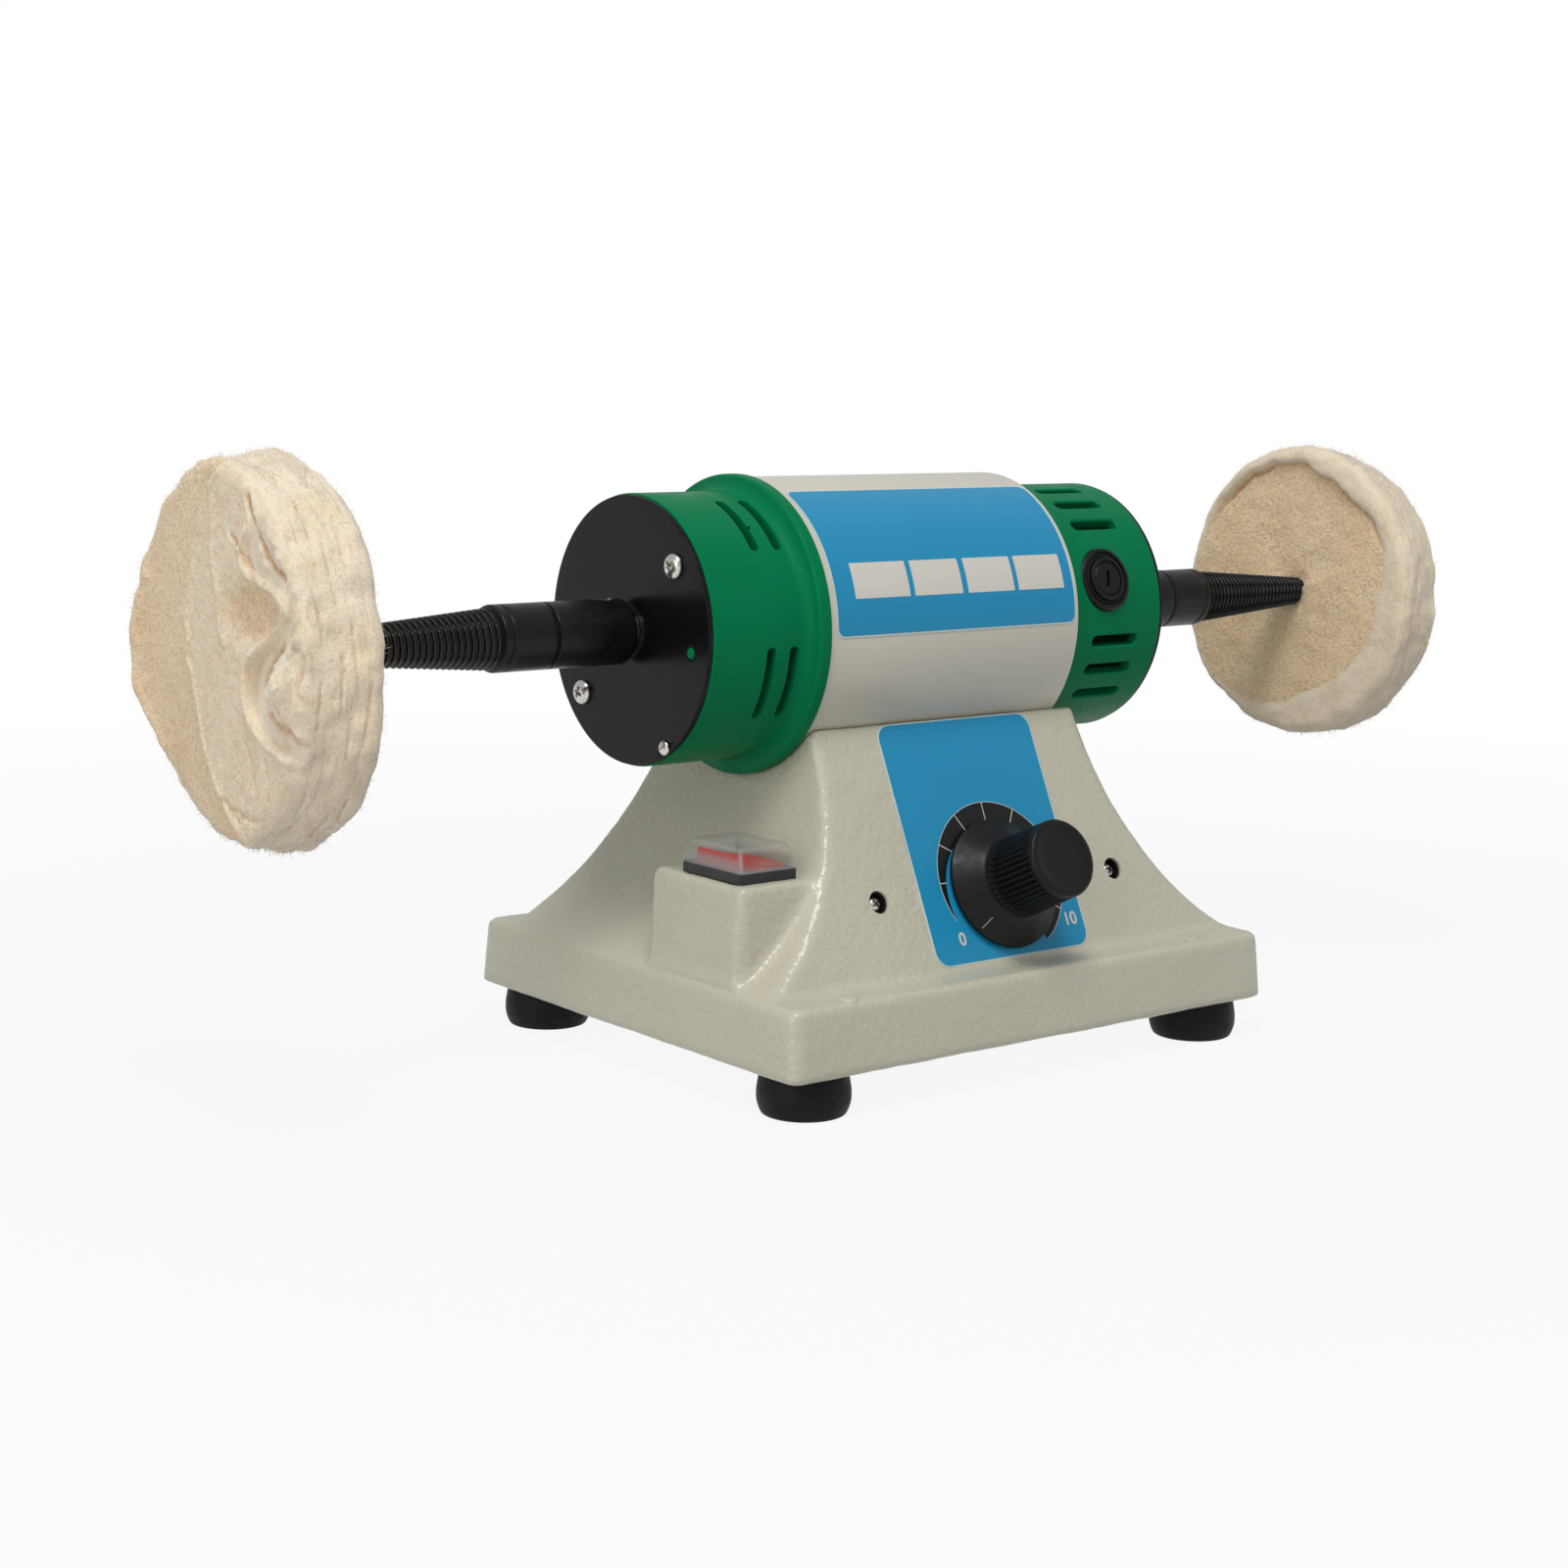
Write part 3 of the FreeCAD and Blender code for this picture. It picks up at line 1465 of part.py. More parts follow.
def switch_body():
    """The switch's bezel and its body inside the box."""
    half_x = switch_half_x()
    half_y = switch_half_y()
    low = bezel_bottom - switch_body_depth
    bezel = rounded_plate(bezel_width, bezel_length, bezel_thickness, bezel_round)
    bezel = moved(bezel, switch_x, switch_y, bezel_bottom)
    body = box(switch_x - half_x, switch_x + half_x, switch_y - half_y, switch_y + half_y, low, bezel_bottom)
    room_x = half_x - switch_body_wall
    room_y = half_y - switch_body_wall
    room = box(
        switch_x - room_x, switch_x + room_x, switch_y - room_y, switch_y + room_y,
        bezel_top - switch_well_depth, bezel_top + overrun)
    pins = pivot_rod(rocker_length / 2 + moving_gap + rocker_pin_length, rocker_pin_radius + running_gap)
    return cut_by(fused([bezel, body]), [room, pins])


def pivot_rod(reach, radius):
    """A round bar on the rocker's pivot, to an equal reach both ways."""
    return Part.makeCylinder(radius, 2 * reach, V(switch_x, switch_y - reach, pivot_height), Y_AXIS)


def rocker_button():
    """The rocker, its inner half pressed down, with its pivot pins."""
    slope = math.tan(math.radians(rocker_tilt))
    high = rocker_valley + rocker_half_width * slope
    outline = [
        (-rocker_half_width, high), (-rocker_half_width, -rocker_skirt),
        (-rocker_keel_half_width, -rocker_keel), (rocker_keel_half_width, -rocker_keel),
        (rocker_half_width, -rocker_skirt), (rocker_half_width, high), (0, rocker_valley)]
    half = rocker_length / 2
    face = face_of([V(x, -half, z) for x, z in outline])
    button = turned_by(face.extrude(V(0, rocker_length, 0)), rocker_tilt, Y_AXIS)
    button = moved(button, switch_x, switch_y, pivot_height)
    return fused([button, pivot_rod(half + moving_gap + rocker_pin_length - running_gap, rocker_pin_radius)])


def switch_boot():
    """The clear cover over the rocker."""
    def ring(width, length, z):
        x, y = width / 2, length / 2
        corners = [V(-x, -y, z), V(x, -y, z), V(x, y, z), V(-x, y, z)]
        return Part.makePolygon(corners + [corners[0]])
    twice = 2 * boot_wall
    outer = Part.makeLoft(
        [ring(bezel_width, bezel_length, 0), ring(boot_top_width, boot_top_length, boot_height)], True,
        True)
    inner = Part.makeLoft([
        ring(bezel_width - twice, bezel_length - twice, 0),
        ring(boot_top_width - twice, boot_top_length - twice, boot_height - boot_wall)], True, True)
    return moved(outer.cut(inner), switch_x, switch_y, bezel_top)


def switch_terminals():
    """The four blades under the switch."""
    top = bezel_bottom - switch_body_depth
    blades = []
    for x in (switch_x - terminal_spread_x, switch_x + terminal_spread_x):
        for y in (switch_y - terminal_spread_y, switch_y + terminal_spread_y):
            blades.append(box(
                x - terminal_thickness / 2, x + terminal_thickness / 2,
                y - terminal_width / 2, y + terminal_width / 2, top - terminal_length, top))
    return grouped(blades)


# Label, gland and terminal block

def motor_label():
    """The thin label wrapped round the front of the tube."""
    left = tube_left + label_left_margin
    right = tube_right - label_right_margin
    inner = tube_radius + fit_gap
    outer = inner + label_thickness
    strip = face_of([V(left, -inner, 0), V(right, -inner, 0), V(right, -outer, 0), V(left, -outer, 0)])
    span = label_high_angle - label_low_angle
    return on_motor_axis(at_clock(strip.revolve(ORIGIN, X_AXIS, span), label_high_angle))


def along_gland(profile):
    """A piece turned about the gland's axis from (y, radius) pairs."""
    outline = [V(r, y, 0) for y, r in profile]
    solid = face_of(outline).revolve(ORIGIN, Y_AXIS, 360)
    return moved(solid, gland_x, 0, gland_axis_height())


def cable_gland():
    """The bored gland in the rear wall."""
    seat = gland_seat()
    inner_end = cavity_half_y - gland_nut_thickness - overrun / 2
    flange = seat + gland_flange_thickness
    tip = flange + gland_dome_length
    return along_gland([
        (inner_end, gland_bore_radius),
        (inner_end, gland_thread_radius),
        (seat, gland_thread_radius),
        (seat, gland_flange_radius),
        (flange, gland_flange_radius),
        (flange, gland_dome_radius),
        (tip - gland_dome_length / 3, gland_dome_radius),
        (tip, gland_dome_tip_radius),
        (tip, gland_bore_radius),
    ])


def gland_nut():
    """The nut inside the rear wall."""
    nut = turned_by(hexagon(gland_nut_radius, gland_nut_thickness), 90)
    nut = moved(nut, gland_x, cavity_half_y, gland_axis_height())
    return nut.cut(gland_rod(0, base_depth, gland_thread_radius))


def terminal_block():
    """The block on the bottom plate where the mains leads end."""
    left = block_x - block_width / 2
    back = block_y + block_depth / 2
    block = box(
        left, left + block_width, block_y - block_depth / 2, back, plate_top, plate_top + block_height)
    pitch = block_width / block_screws
    wells = []
    for step in range(block_screws):
        x = left + (step + 1 / 2) * pitch
        top = plate_top + block_height
        wells.append(post(x, block_y, top - block_screw_depth, top + overrun, block_screw_radius))
    return cut_by(block, wells)


parts = {
    "base_casting": base_casting(),
    "bottom_plate": bottom_plate(),
    "rubber_feet": rubber_feet(),
    "foot_screws": foot_screws(),
    "motor_screws": motor_screws(),
    "motor_tube": motor_tube(),
    "motor_label": motor_label(),
    "left_end_cap": left_end_cap(),
    "right_end_cap": right_end_cap(),
    "left_cover_disc": left_cover_disc(),
    "right_cover_disc": right_cover_disc(),
    "tie_bolts": tie_bolts(),
    "cover_screws": cover_screws(),
    "stator_core": stator_core(),
    "field_coils": field_coils(),
    "left_bearing_outer": bearing_outer(left_bearing_end),
    "right_bearing_outer": bearing_outer(right_bearing_end - bearing_width),
    "brush_holders": brush_holders(),
    "carbon_brushes": carbon_brushes(),
    "brush_springs": brush_springs(),
    "brush_caps": brush_caps(),
    "motor_shaft": motor_shaft(),
    "armature_core": armature_core(),
    "armature_windings": armature_windings(),
    "commutator": commutator(),
    "commutator_hub": commutator_hub(),
    "cooling_fan": cooling_fan(),
    "left_bearing_inner": bearing_inner(left_bearing_end),
    "right_bearing_inner": bearing_inner(right_bearing_end - bearing_width),
    "left_bearing_balls": bearing_balls(left_bearing_end),
    "right_bearing_balls": bearing_balls(right_bearing_end - bearing_width),
    "left_spindle": on_motor_axis(flipped_x(spindle())),
    "right_spindle": on_motor_axis(spindle()),
    "set_screws": set_screws(),
    "left_buff": flipped_x(buff(-left_buff_outer)),
    "right_buff": buff(right_buff_outer),
    "dial_plate": dial_plate(),
    "panel_screws": panel_screws(),
    "control_bracket": control_bracket(),
    "pot_case": pot_case(),
    "pot_nut": pot_nut(),
    "pot_shaft": pot_shaft(),
    "speed_knob": speed_knob(),
    "knob_pointer": knob_pointer(),
    "control_board": control_board(),
    "board_spacers": board_spacers(),
    "heat_sink": heat_sink(),
    "triac": triac(),
    "suppression_capacitor": suppression_capacitor(),
    "switch_body": switch_body(),
    "rocker_button": rocker_button(),
    "switch_boot": switch_boot(),
    "switch_terminals": switch_terminals(),
    "cable_gland": cable_gland(),
    "gland_nut": gland_nut(),
    "terminal_block": terminal_block(),
}

os.makedirs("parts", exist_ok=True)
for name, shape in parts.items():
    shape.exportStep("parts/" + name + ".step")
    span = shape.BoundBox
    extents = (span.XMin, span.XMax, span.YMin, span.YMax, span.ZMin, span.ZMax)
    print(name, len(shape.Solids), shape.isValid(), round(shape.Volume), [round(v, 1) for v in extents])
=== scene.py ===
import math

import bmesh
import bpy
import numpy as np
from mathutils import Matrix, Vector, noise

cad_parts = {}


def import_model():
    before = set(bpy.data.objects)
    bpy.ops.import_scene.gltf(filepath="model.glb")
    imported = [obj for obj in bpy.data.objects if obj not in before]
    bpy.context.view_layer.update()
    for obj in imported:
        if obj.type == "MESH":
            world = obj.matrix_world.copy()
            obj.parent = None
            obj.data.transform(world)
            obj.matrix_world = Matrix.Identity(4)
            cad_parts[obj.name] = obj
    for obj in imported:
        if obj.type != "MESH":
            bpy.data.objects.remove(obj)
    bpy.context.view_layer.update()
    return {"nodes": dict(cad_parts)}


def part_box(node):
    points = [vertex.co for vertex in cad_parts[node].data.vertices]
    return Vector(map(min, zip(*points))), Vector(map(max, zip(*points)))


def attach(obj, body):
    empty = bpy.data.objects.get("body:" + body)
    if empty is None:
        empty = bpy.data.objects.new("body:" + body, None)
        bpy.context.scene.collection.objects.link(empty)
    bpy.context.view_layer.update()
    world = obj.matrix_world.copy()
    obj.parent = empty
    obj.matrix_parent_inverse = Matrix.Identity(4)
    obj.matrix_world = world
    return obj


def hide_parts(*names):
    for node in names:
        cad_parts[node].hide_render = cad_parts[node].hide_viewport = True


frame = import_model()

# The dressed polishing lathe. Everything is in metres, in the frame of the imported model, and
# sizes that a piece shares with a CAD node are read from that node's box. "Reliefs" of the cloth
# buffs alone are in millimetres. The machine's front is -y, and its motor's axis runs along x.

MM = 0.001
JOIN = 1e-6  # points nearer than this are joined
FINE_JOIN = 1e-7
NODES = frame["nodes"]
MOTOR_AXIS = Vector((0.0, 0.0, 0.138))
X_AXIS = (1, 0, 0)

# Leaning control panel: a point at its foot, and its own right, up and outward directions
PANEL_LEAN = math.radians(24.7)
PANEL_FOOT = Vector((0.0, -0.070, 0.035))
PANEL_RIGHT = Vector((1.0, 0.0, 0.0))
PANEL_UP = Vector((0.0, math.sin(PANEL_LEAN), math.cos(PANEL_LEAN)))
PANEL_OUT = Vector((0.0, -math.cos(PANEL_LEAN), math.sin(PANEL_LEAN)))
KNOB_X, KNOB_RISE = 0.0025, 0.025
PANEL_SCREWS = (-0.050, 0.050)  # right of the knob's axis, at its height


# ---- Mesh helpers

def mesh_of(points, faces, join=None):
    """A mesh of points and faces, its doubled points joined where a distance is given."""
    mesh = bpy.data.meshes.new("shape")
    mesh.from_pydata([tuple(p) for p in points], [], [tuple(f) for f in faces])
    mesh.update()
    if join is not None:
        weld(mesh, join)
    return mesh


def added(name, data):
    """A new object in the scene."""
    obj = bpy.data.objects.new(name, data)
    bpy.context.scene.collection.objects.link(obj)
    return obj


def dress(mesh, name, material, replaces=(), sharp=None, body="frame", smooth=True):
    """A visible piece riding on a body. Edges sharper than the angle sharp stay crisp."""
    obj = added(name, mesh)
    mesh.materials.clear()
    mesh.materials.append(material)
    mesh.polygons.foreach_set("use_smooth", np.full(len(mesh.polygons), smooth))
    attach(obj, body)
    if replaces:
        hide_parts(*replaces)
    if sharp is not None:
        smooth_by_angle(mesh, sharp)
    return obj


def grid_faces(rows, columns):
    """Quads between rows of points, each row a ring."""
    return [(i * columns + j, i * columns + (j + 1) % columns,
             (i + 1) * columns + (j + 1) % columns, (i + 1) * columns + j)
            for i in range(rows - 1) for j in range(columns)]


def rounded(profile, radius, steps=4):
    """The outline with every inner corner rounded, by up to radius."""
    points = [np.array(p, float) for p in profile]
    out = [points[0]]
    for before, here, after in zip(points, points[1:], points[2:]):
        to_before, to_after = before - here, after - here
        long_before, long_after = np.linalg.norm(to_before), np.linalg.norm(to_after)
        reach = min(radius, long_before * 0.45, long_after * 0.45)
        start, end = here + to_before / long_before * reach, here + to_after / long_after * reach
        for k in range(steps + 1):
            t = k / steps
            out.append((1 - t) ** 2 * start + 2 * t * (1 - t) * here + t * t * end)
    out.append(points[-1])
    return out


def frame_of(axis):
    """The axis and two directions at right angles to it."""
    axis = Vector(axis).normalized()
    side = Vector((0.0, -1.0, 0.0)) if abs(axis.y) < 0.9 else Vector((1.0, 0.0, 0.0))
    side = (side - axis * side.dot(axis)).normalized()
    return axis, side, axis.cross(side)


def weld(mesh, distance=JOIN, outward=True):
    """Join doubled points, and turn the faces outwards."""
    bm = bmesh.new()
    bm.from_mesh(mesh)
    bmesh.ops.remove_doubles(bm, verts=bm.verts, dist=distance)
    if outward:
        bmesh.ops.recalc_face_normals(bm, faces=bm.faces)
    bm.to_mesh(mesh)
    bm.free()
    mesh.update()


def baked(obj, helpers=()):
    """The object's mesh after its modifiers; the object and its helpers go."""
    depsgraph = bpy.context.evaluated_depsgraph_get()
    result = bpy.data.meshes.new_from_object(obj.evaluated_get(depsgraph))
    for extra in (*helpers, obj):
        bpy.data.objects.remove(extra)
    return result


def applied(mesh, *modifiers):
    """The mesh after some modifiers, each a type and its settings."""
    obj = added("work", mesh)
    for kind, settings in modifiers:
        modifier = obj.modifiers.new(kind.lower(), kind)
        for key, value in settings.items():
            setattr(modifier, key, value)
    return baked(obj)


def carved(mesh, cutters):
    """The mesh less some closed cutting meshes."""
    obj = added("work", mesh)
    tools = [added("cutter", cutter) for cutter in cutters]
    for tool in tools:
        modifier = obj.modifiers.new("cut", "BOOLEAN")
        modifier.operation = "DIFFERENCE"
        modifier.solver = "EXACT"
        modifier.object = tool
    result = baked(obj, tools)
    result.validate()
    return result


def vectors_of(items, key):
    """A vector that many items have, as an array."""
    values = np.empty(len(items) * 3)
    items.foreach_get(key, values)
    return values.reshape(-1, 3)


def set_points(mesh, co):
    """Move the mesh's points."""
    mesh.vertices.foreach_set("co", np.ascontiguousarray(co, np.float32).ravel())
    mesh.update()


def mark_points(mesh, name, values):
    """Store a number for each point, which a material reads."""
    attribute = mesh.attributes.new(name, "FLOAT", "POINT")
    attribute.data.foreach_set("value", np.asarray(values, np.float32))


def relax(mesh, rounds, share=0.5):
    """Smooth the mesh by moving each point towards the middle of its neighbours."""
    co = vectors_of(mesh.vertices, "co")
    edges = np.empty(len(mesh.edges) * 2, np.int64)
    mesh.edges.foreach_get("vertices", edges)
    a, b = edges.reshape(-1, 2).T
    count = np.bincount(np.concatenate([a, b]), minlength=len(co))[:, None]
    for _ in range(rounds):
        middle = np.stack([
            np.bincount(a, co[b, k], len(co)) + np.bincount(b, co[a, k], len(co)) for k in range(3)
        ], 1) / count
        co = co + (middle - co) * share
    set_points(mesh, co)


def bevelled(node, name, width, material, segments=2, angle=35, body="frame"):
    """A node's mesh with its sharp edges broken."""
    mesh = NODES[node].data.copy()
    weld(mesh, outward=False)
    mesh.polygons.foreach_set("use_smooth", np.full(len(mesh.polygons), True))
    result = applied(
        mesh,
        ("BEVEL", {"width": width, "segments": segments, "limit_method": "ANGLE",
                   "angle_limit": math.radians(angle), "harden_normals": False,
                   "use_clamp_overlap": True}),
        ("WEIGHTED_NORMAL", {"mode": "FACE_AREA", "weight": 100, "keep_sharp": True}))
    return dress(result, name, material, (node,), body=body)


def smooth_by_angle(mesh, degrees):
    """Shade smooth, and keep the edges sharper than an angle crisp."""
    bm = bmesh.new()
    bm.from_mesh(mesh)
    limit = math.radians(degrees)
    for edge in bm.edges:
        edge.smooth = not (len(edge.link_faces) == 2 and edge.calc_face_angle(0) > limit)
    for face in bm.faces:
        face.smooth = True
    bm.to_mesh(mesh)
    bm.free()


def on_panel(x, rise, out=0.0):
    """A point on the leaning panel."""
    return PANEL_FOOT + PANEL_RIGHT * x + PANEL_UP * rise + PANEL_OUT * out


# ---- Material helpers

def add_node(tree, kind, values=None, links=None):
    """A shader node with some inputs set and some linked."""
    node = tree.nodes.new("ShaderNode" + kind)
    put(node, values or {})
    for key, socket in (links or {}).items():
        tree.links.new(socket, node.inputs[key])
    return node


def put(node, values):
    """Set a node's inputs."""
    for key, value in values.items():
        node.inputs[key].default_value = value


def graph(name, color, roughness=0.5, metallic=0.0):
    """A new material with its tree, its Principled shader and object coordinates."""
    mat = bpy.data.materials.new(name)
    mat.use_nodes = True
    tree = mat.node_tree
    shader = tree.nodes["Principled BSDF"]
    put(shader, {"Base Color": (*color, 1.0), "Roughness": roughness, "Metallic": metallic})
    return mat, tree, shader, add_node(tree, "TexCoord").outputs["Object"]


def stretched(tree, coords, scale):
    """Coordinates scaled by a vector."""
    return add_node(tree, "Mapping", {"Scale": scale}, {"Vector": coords}).outputs["Vector"]


def noise_of(tree, coords, scale, detail=3.0, roughness=0.5, distortion=0.0):
    """A noise texture's value."""
    return add_node(tree, "TexNoise", {"Scale": scale, "Detail": detail, "Roughness": roughness,
                                       "Distortion": distortion}, {"Vector": coords}).outputs["Fac"]


def mapped(tree, value, low, high, new_low, new_high):
    """A value moved from one range to another."""
    return add_node(tree, "MapRange", {"From Min": low, "From Max": high, "To Min": new_low,
                                       "To Max": new_high}, {"Value": value}).outputs["Result"]


def mixed(tree, factor, first, second):
    """A colour between two, each a tuple or a socket."""
    node = add_node(tree, "Mix")
    node.data_type = "RGBA"
    tree.links.new(factor, node.inputs["Factor"])
    for key, value in (("A", first), ("B", second)):
        socket = [s for s in node.inputs if s.name == key and s.type == "RGBA"][0]
        if isinstance(value, tuple):
            socket.default_value = (*value, 1.0)
        else:
            tree.links.new(value, socket)
    return [s for s in node.outputs if s.type == "RGBA"][0]


def combined(tree, operation, first, second):
    """Two values put together by a maths node."""
    node = add_node(tree, "Math")
    node.operation = operation
    for socket, value in zip(node.inputs, (first, second)):
        if isinstance(value, (int, float)):
            socket.default_value = value
        else:
            tree.links.new(value, socket)
    return node.outputs["Value"]


def attribute(tree, name):
    """A number that the mesh's points carry."""
    node = add_node(tree, "Attribute")
    node.attribute_name = name
    return node.outputs["Fac"]


def bumped(tree, shader, height, distance):
    """Drive the shader's normal from a height."""
    bump = add_node(tree, "Bump", {"Strength": 1.0, "Distance": distance}, {"Height": height})
    tree.links.new(bump.outputs["Normal"], shader.inputs["Normal"])


def shown_by(tree, factor, first, second, output):
    """Show a surface made of two shaders."""
    mix = add_node(tree, "MixShader", links={"Fac": factor})
    tree.links.new(first, mix.inputs[1])
    tree.links.new(second, mix.inputs[2])
    tree.links.new(mix.outputs["Shader"], output)


def finish_of(name, color, roughness=0.5, metallic=0.0, vary=0.06, vary_scale=60.0, rough_vary=0.08,
              bump=0.0, bump_scale=900.0, stretch=None, gloss_level=0.5):
    """A general surface: slight drifts of colour and gloss, and a fine relief."""
    mat, tree, shader, coords = graph(name, color, roughness, metallic)
    put(shader, {"Specular IOR Level": gloss_level})
    if stretch:
        coords = stretched(tree, coords, stretch)
    drift = noise_of(tree, coords, vary_scale, 4.0)
    dark = tuple(c * (1 - vary) for c in color)
    light = tuple(min(1.0, c * (1 + vary)) for c in color)
    factor = mapped(tree, drift, 0.3, 0.7, 0.0, 1.0)
    tree.links.new(mixed(tree, factor, dark, light), shader.inputs["Base Color"])
    gloss = noise_of(tree, coords, vary_scale * 3.1, 3.0)
    rough = mapped(tree, gloss, 0.3, 0.7,
                   max(0.02, roughness - rough_vary), min(1.0, roughness + rough_vary))
    tree.links.new(rough, shader.inputs["Roughness"])
    if bump:
        bumped(tree, shader, noise_of(tree, coords, bump_scale, 2.0), bump)
    return mat


def srgb(r, g, b):
    """A linear colour from 0-255 screen values."""
    def one(v):
        v /= 255.0
        return v / 12.92 if v <= 0.04045 else ((v + 0.055) / 1.055) ** 2.4
    return (one(r), one(g), one(b))


# ---- Materials

def cast_paint():
    """Cream enamel over a cast surface, with its orange peel."""
    mat, tree, shader, coords = graph("cast_paint", srgb(204, 200, 180), 0.27)
    drift = mapped(tree, noise_of(tree, coords, 14.0, 2.0), 0.3, 0.7, 0.0, 1.0)
    tone = mixed(tree, drift, srgb(192, 188, 168), srgb(197, 193, 174))
    tree.links.new(tone, shader.inputs["Base Color"])
    peel = noise_of(tree, coords, 430.0, 0.0)
    fine = noise_of(tree, coords, 900.0, 0.0)
    height = combined(tree, "ADD", peel, combined(tree, "MULTIPLY", fine, 0.5))
    bumped(tree, shader, height, 0.00025)
    return mat


def machined_black():
    """Blackened steel with fine rings left by the cutter, and a painted highlight on its thread crests,
    which are also made metallic.
    """
    mat, tree, shader, coords = graph("black_oxide", srgb(15, 15, 16), 0.36)
    rings = noise_of(tree, stretched(tree, coords, (2400.0, 9.0, 9.0)), 1.0, 2.0)
    smear = noise_of(tree, coords, 140.0, 4.0)
    tone = mixed(tree, mapped(tree, smear, 0.35, 0.7, 0.0, 1.0), srgb(10, 10, 11), srgb(19, 19, 20))
    pointiness = add_node(tree, "NewGeometry").outputs["Pointiness"]
    # Pale colour on the sharpest points, the thread's crests: a painted highlight
    crest_highlight = mapped(tree, pointiness, 0.555, 0.62, 0.0, 1.0)
    tree.links.new(mixed(tree, crest_highlight, tone, srgb(196, 193, 186)), shader.inputs["Base Color"])
    sunk = mapped(tree, pointiness, 0.40, 0.5, 0.75, 0.34)
    streaks = mapped(tree, combined(tree, "MULTIPLY", rings, smear), 0.1, 0.45, -0.08, 0.1)
    tree.links.new(combined(tree, "ADD", sunk, streaks), shader.inputs["Roughness"])
    tree.links.new(mapped(tree, crest_highlight, 0.0, 0.75, 0.0, 0.8), shader.inputs["Metallic"])
    bumped(tree, shader, rings, 0.000014)
    put(shader, {"Specular IOR Level": 0.24})
    return mat


def clear_vinyl():
    """Thin clear vinyl, whose panels let nearly all light through and whose edges are painted more opaque
    grey, standing in for the highlights and shade along a clear shell's edges.
    """
    mat, tree, shader, coords = graph("clear_vinyl", (0.42, 0.43, 0.42), 0.08)
    rough = mapped(tree, noise_of(tree, coords, 120.0, 3.0), 0.3, 0.7, 0.05, 0.12)
    tree.links.new(rough, shader.inputs["Roughness"])
    # More opaque grey at the marked edges: painted highlight and shade
    veil = mapped(tree, attribute(tree, "edge"), 0.0, 1.0, 0.008, 0.38)
    clear = add_node(tree, "BsdfTransparent").outputs["BSDF"]
    shown_by(tree, veil, clear, shader.outputs["BSDF"], tree.nodes["Material Output"].inputs["Surface"])
    return mat


def flannel():
    """Brushed cotton: tan curly nap on its flat faces, cream and soft plies, painted shade in its creases,
    hollows and between plies, and a painted highlight on its ridges.
    """
    cream_light, cream_dark = srgb(242, 228, 205), srgb(234, 217, 188)
    tan_light, tan_dark = srgb(250, 224, 184), srgb(242, 211, 168)
    mat, tree, shader, coords = graph("flannel", cream_light, 0.95)

    def times(first, second):
        return combined(tree, "MULTIPLY", first, second)

    def plus(first, second):
        return combined(tree, "ADD", first, second)

    broad = mapped(tree, noise_of(tree, coords, 60.0, 4.0), 0.3, 0.7, 0.0, 1.0)
    curls = noise_of(tree, coords, 950.0, 1.5, 0.5, 0.9)
    tufts = noise_of(tree, coords, 420.0, 4.0, 0.6, 0.5)
    cream = mixed(tree, broad, cream_dark, cream_light)
    tan = mixed(tree, broad, tan_dark, tan_light)
    ragged = plus(attribute(tree, "nap"), mapped(tree, tufts, 0.3, 0.7, -0.22, 0.22))
    mask = mapped(tree, ragged, 0.3, 0.75, 0.0, 1.0)
    tone = mixed(tree, mask, cream, tan)
    pits = times(mapped(tree, curls, 0.34, 0.52, 1.0, 0.0), mapped(tree, mask, 0.0, 1.0, 0.12, 0.56))
    tone = mixed(tree, pits, tone, srgb(201, 162, 117))
    pointiness = add_node(tree, "NewGeometry").outputs["Pointiness"]
    # Darker tan in hollows and in the rim's grooves (the crease attribute): painted shade
    hollow = combined(tree, "MAXIMUM", mapped(tree, pointiness, 0.38, 0.485, 0.7, 0.0),
                      times(attribute(tree, "crease"), 0.55))
    tone = mixed(tree, hollow, tone, srgb(210, 170, 126))
    # Paler on the ridges: a painted highlight
    crest = mapped(tree, pointiness, 0.515, 0.58, 0.0, 0.6)
    tone = mixed(tree, crest, tone, srgb(236, 226, 208))
    # Orange-brown in the fold's pocket, along the creases and just inside the lip: painted shade
    painted_shade = plus(attribute(tree, "crease_shade"), mapped(tree, tufts, 0.3, 0.7, -0.35, 0.2))
    tone = mixed(tree, mapped(tree, painted_shade, 0.1, 1.1, 0.0, 0.8), tone, srgb(200, 142, 90))
    # Thin tan lines across the bare rim, between the plies: painted shade
    plies = noise_of(tree, stretched(tree, coords, (640.0, 70.0, 70.0)), 1.0, 3.0, 0.6)
    bare = mapped(tree, mask, 0.0, 0.6, 1.0, 0.0)
    streak = times(mapped(tree, plies, 0.32, 0.46, 0.3, 0.0), bare)
    tree.links.new(mixed(tree, streak, tone, srgb(206, 172, 130)), shader.inputs["Base Color"])
    fine = noise_of(tree, coords, 3000.0, 2.0, 0.6)
    relief = times(curls, mapped(tree, mask, 0.0, 1.0, 0.35, 1.0))
    relief = plus(plus(relief, times(fine, 0.22)), times(tufts, 0.25))
    bumped(tree, shader, plus(relief, times(times(plies, bare), 0.7)), 0.0009)
    put(shader, {"Subsurface Weight": 0.3, "Subsurface Radius": (1.0, 0.8, 0.6),
                 "Subsurface Scale": 0.004, "Sheen Weight": 0.45, "Sheen Roughness": 0.5,
                 "Specular IOR Level": 0.12})
    return mat


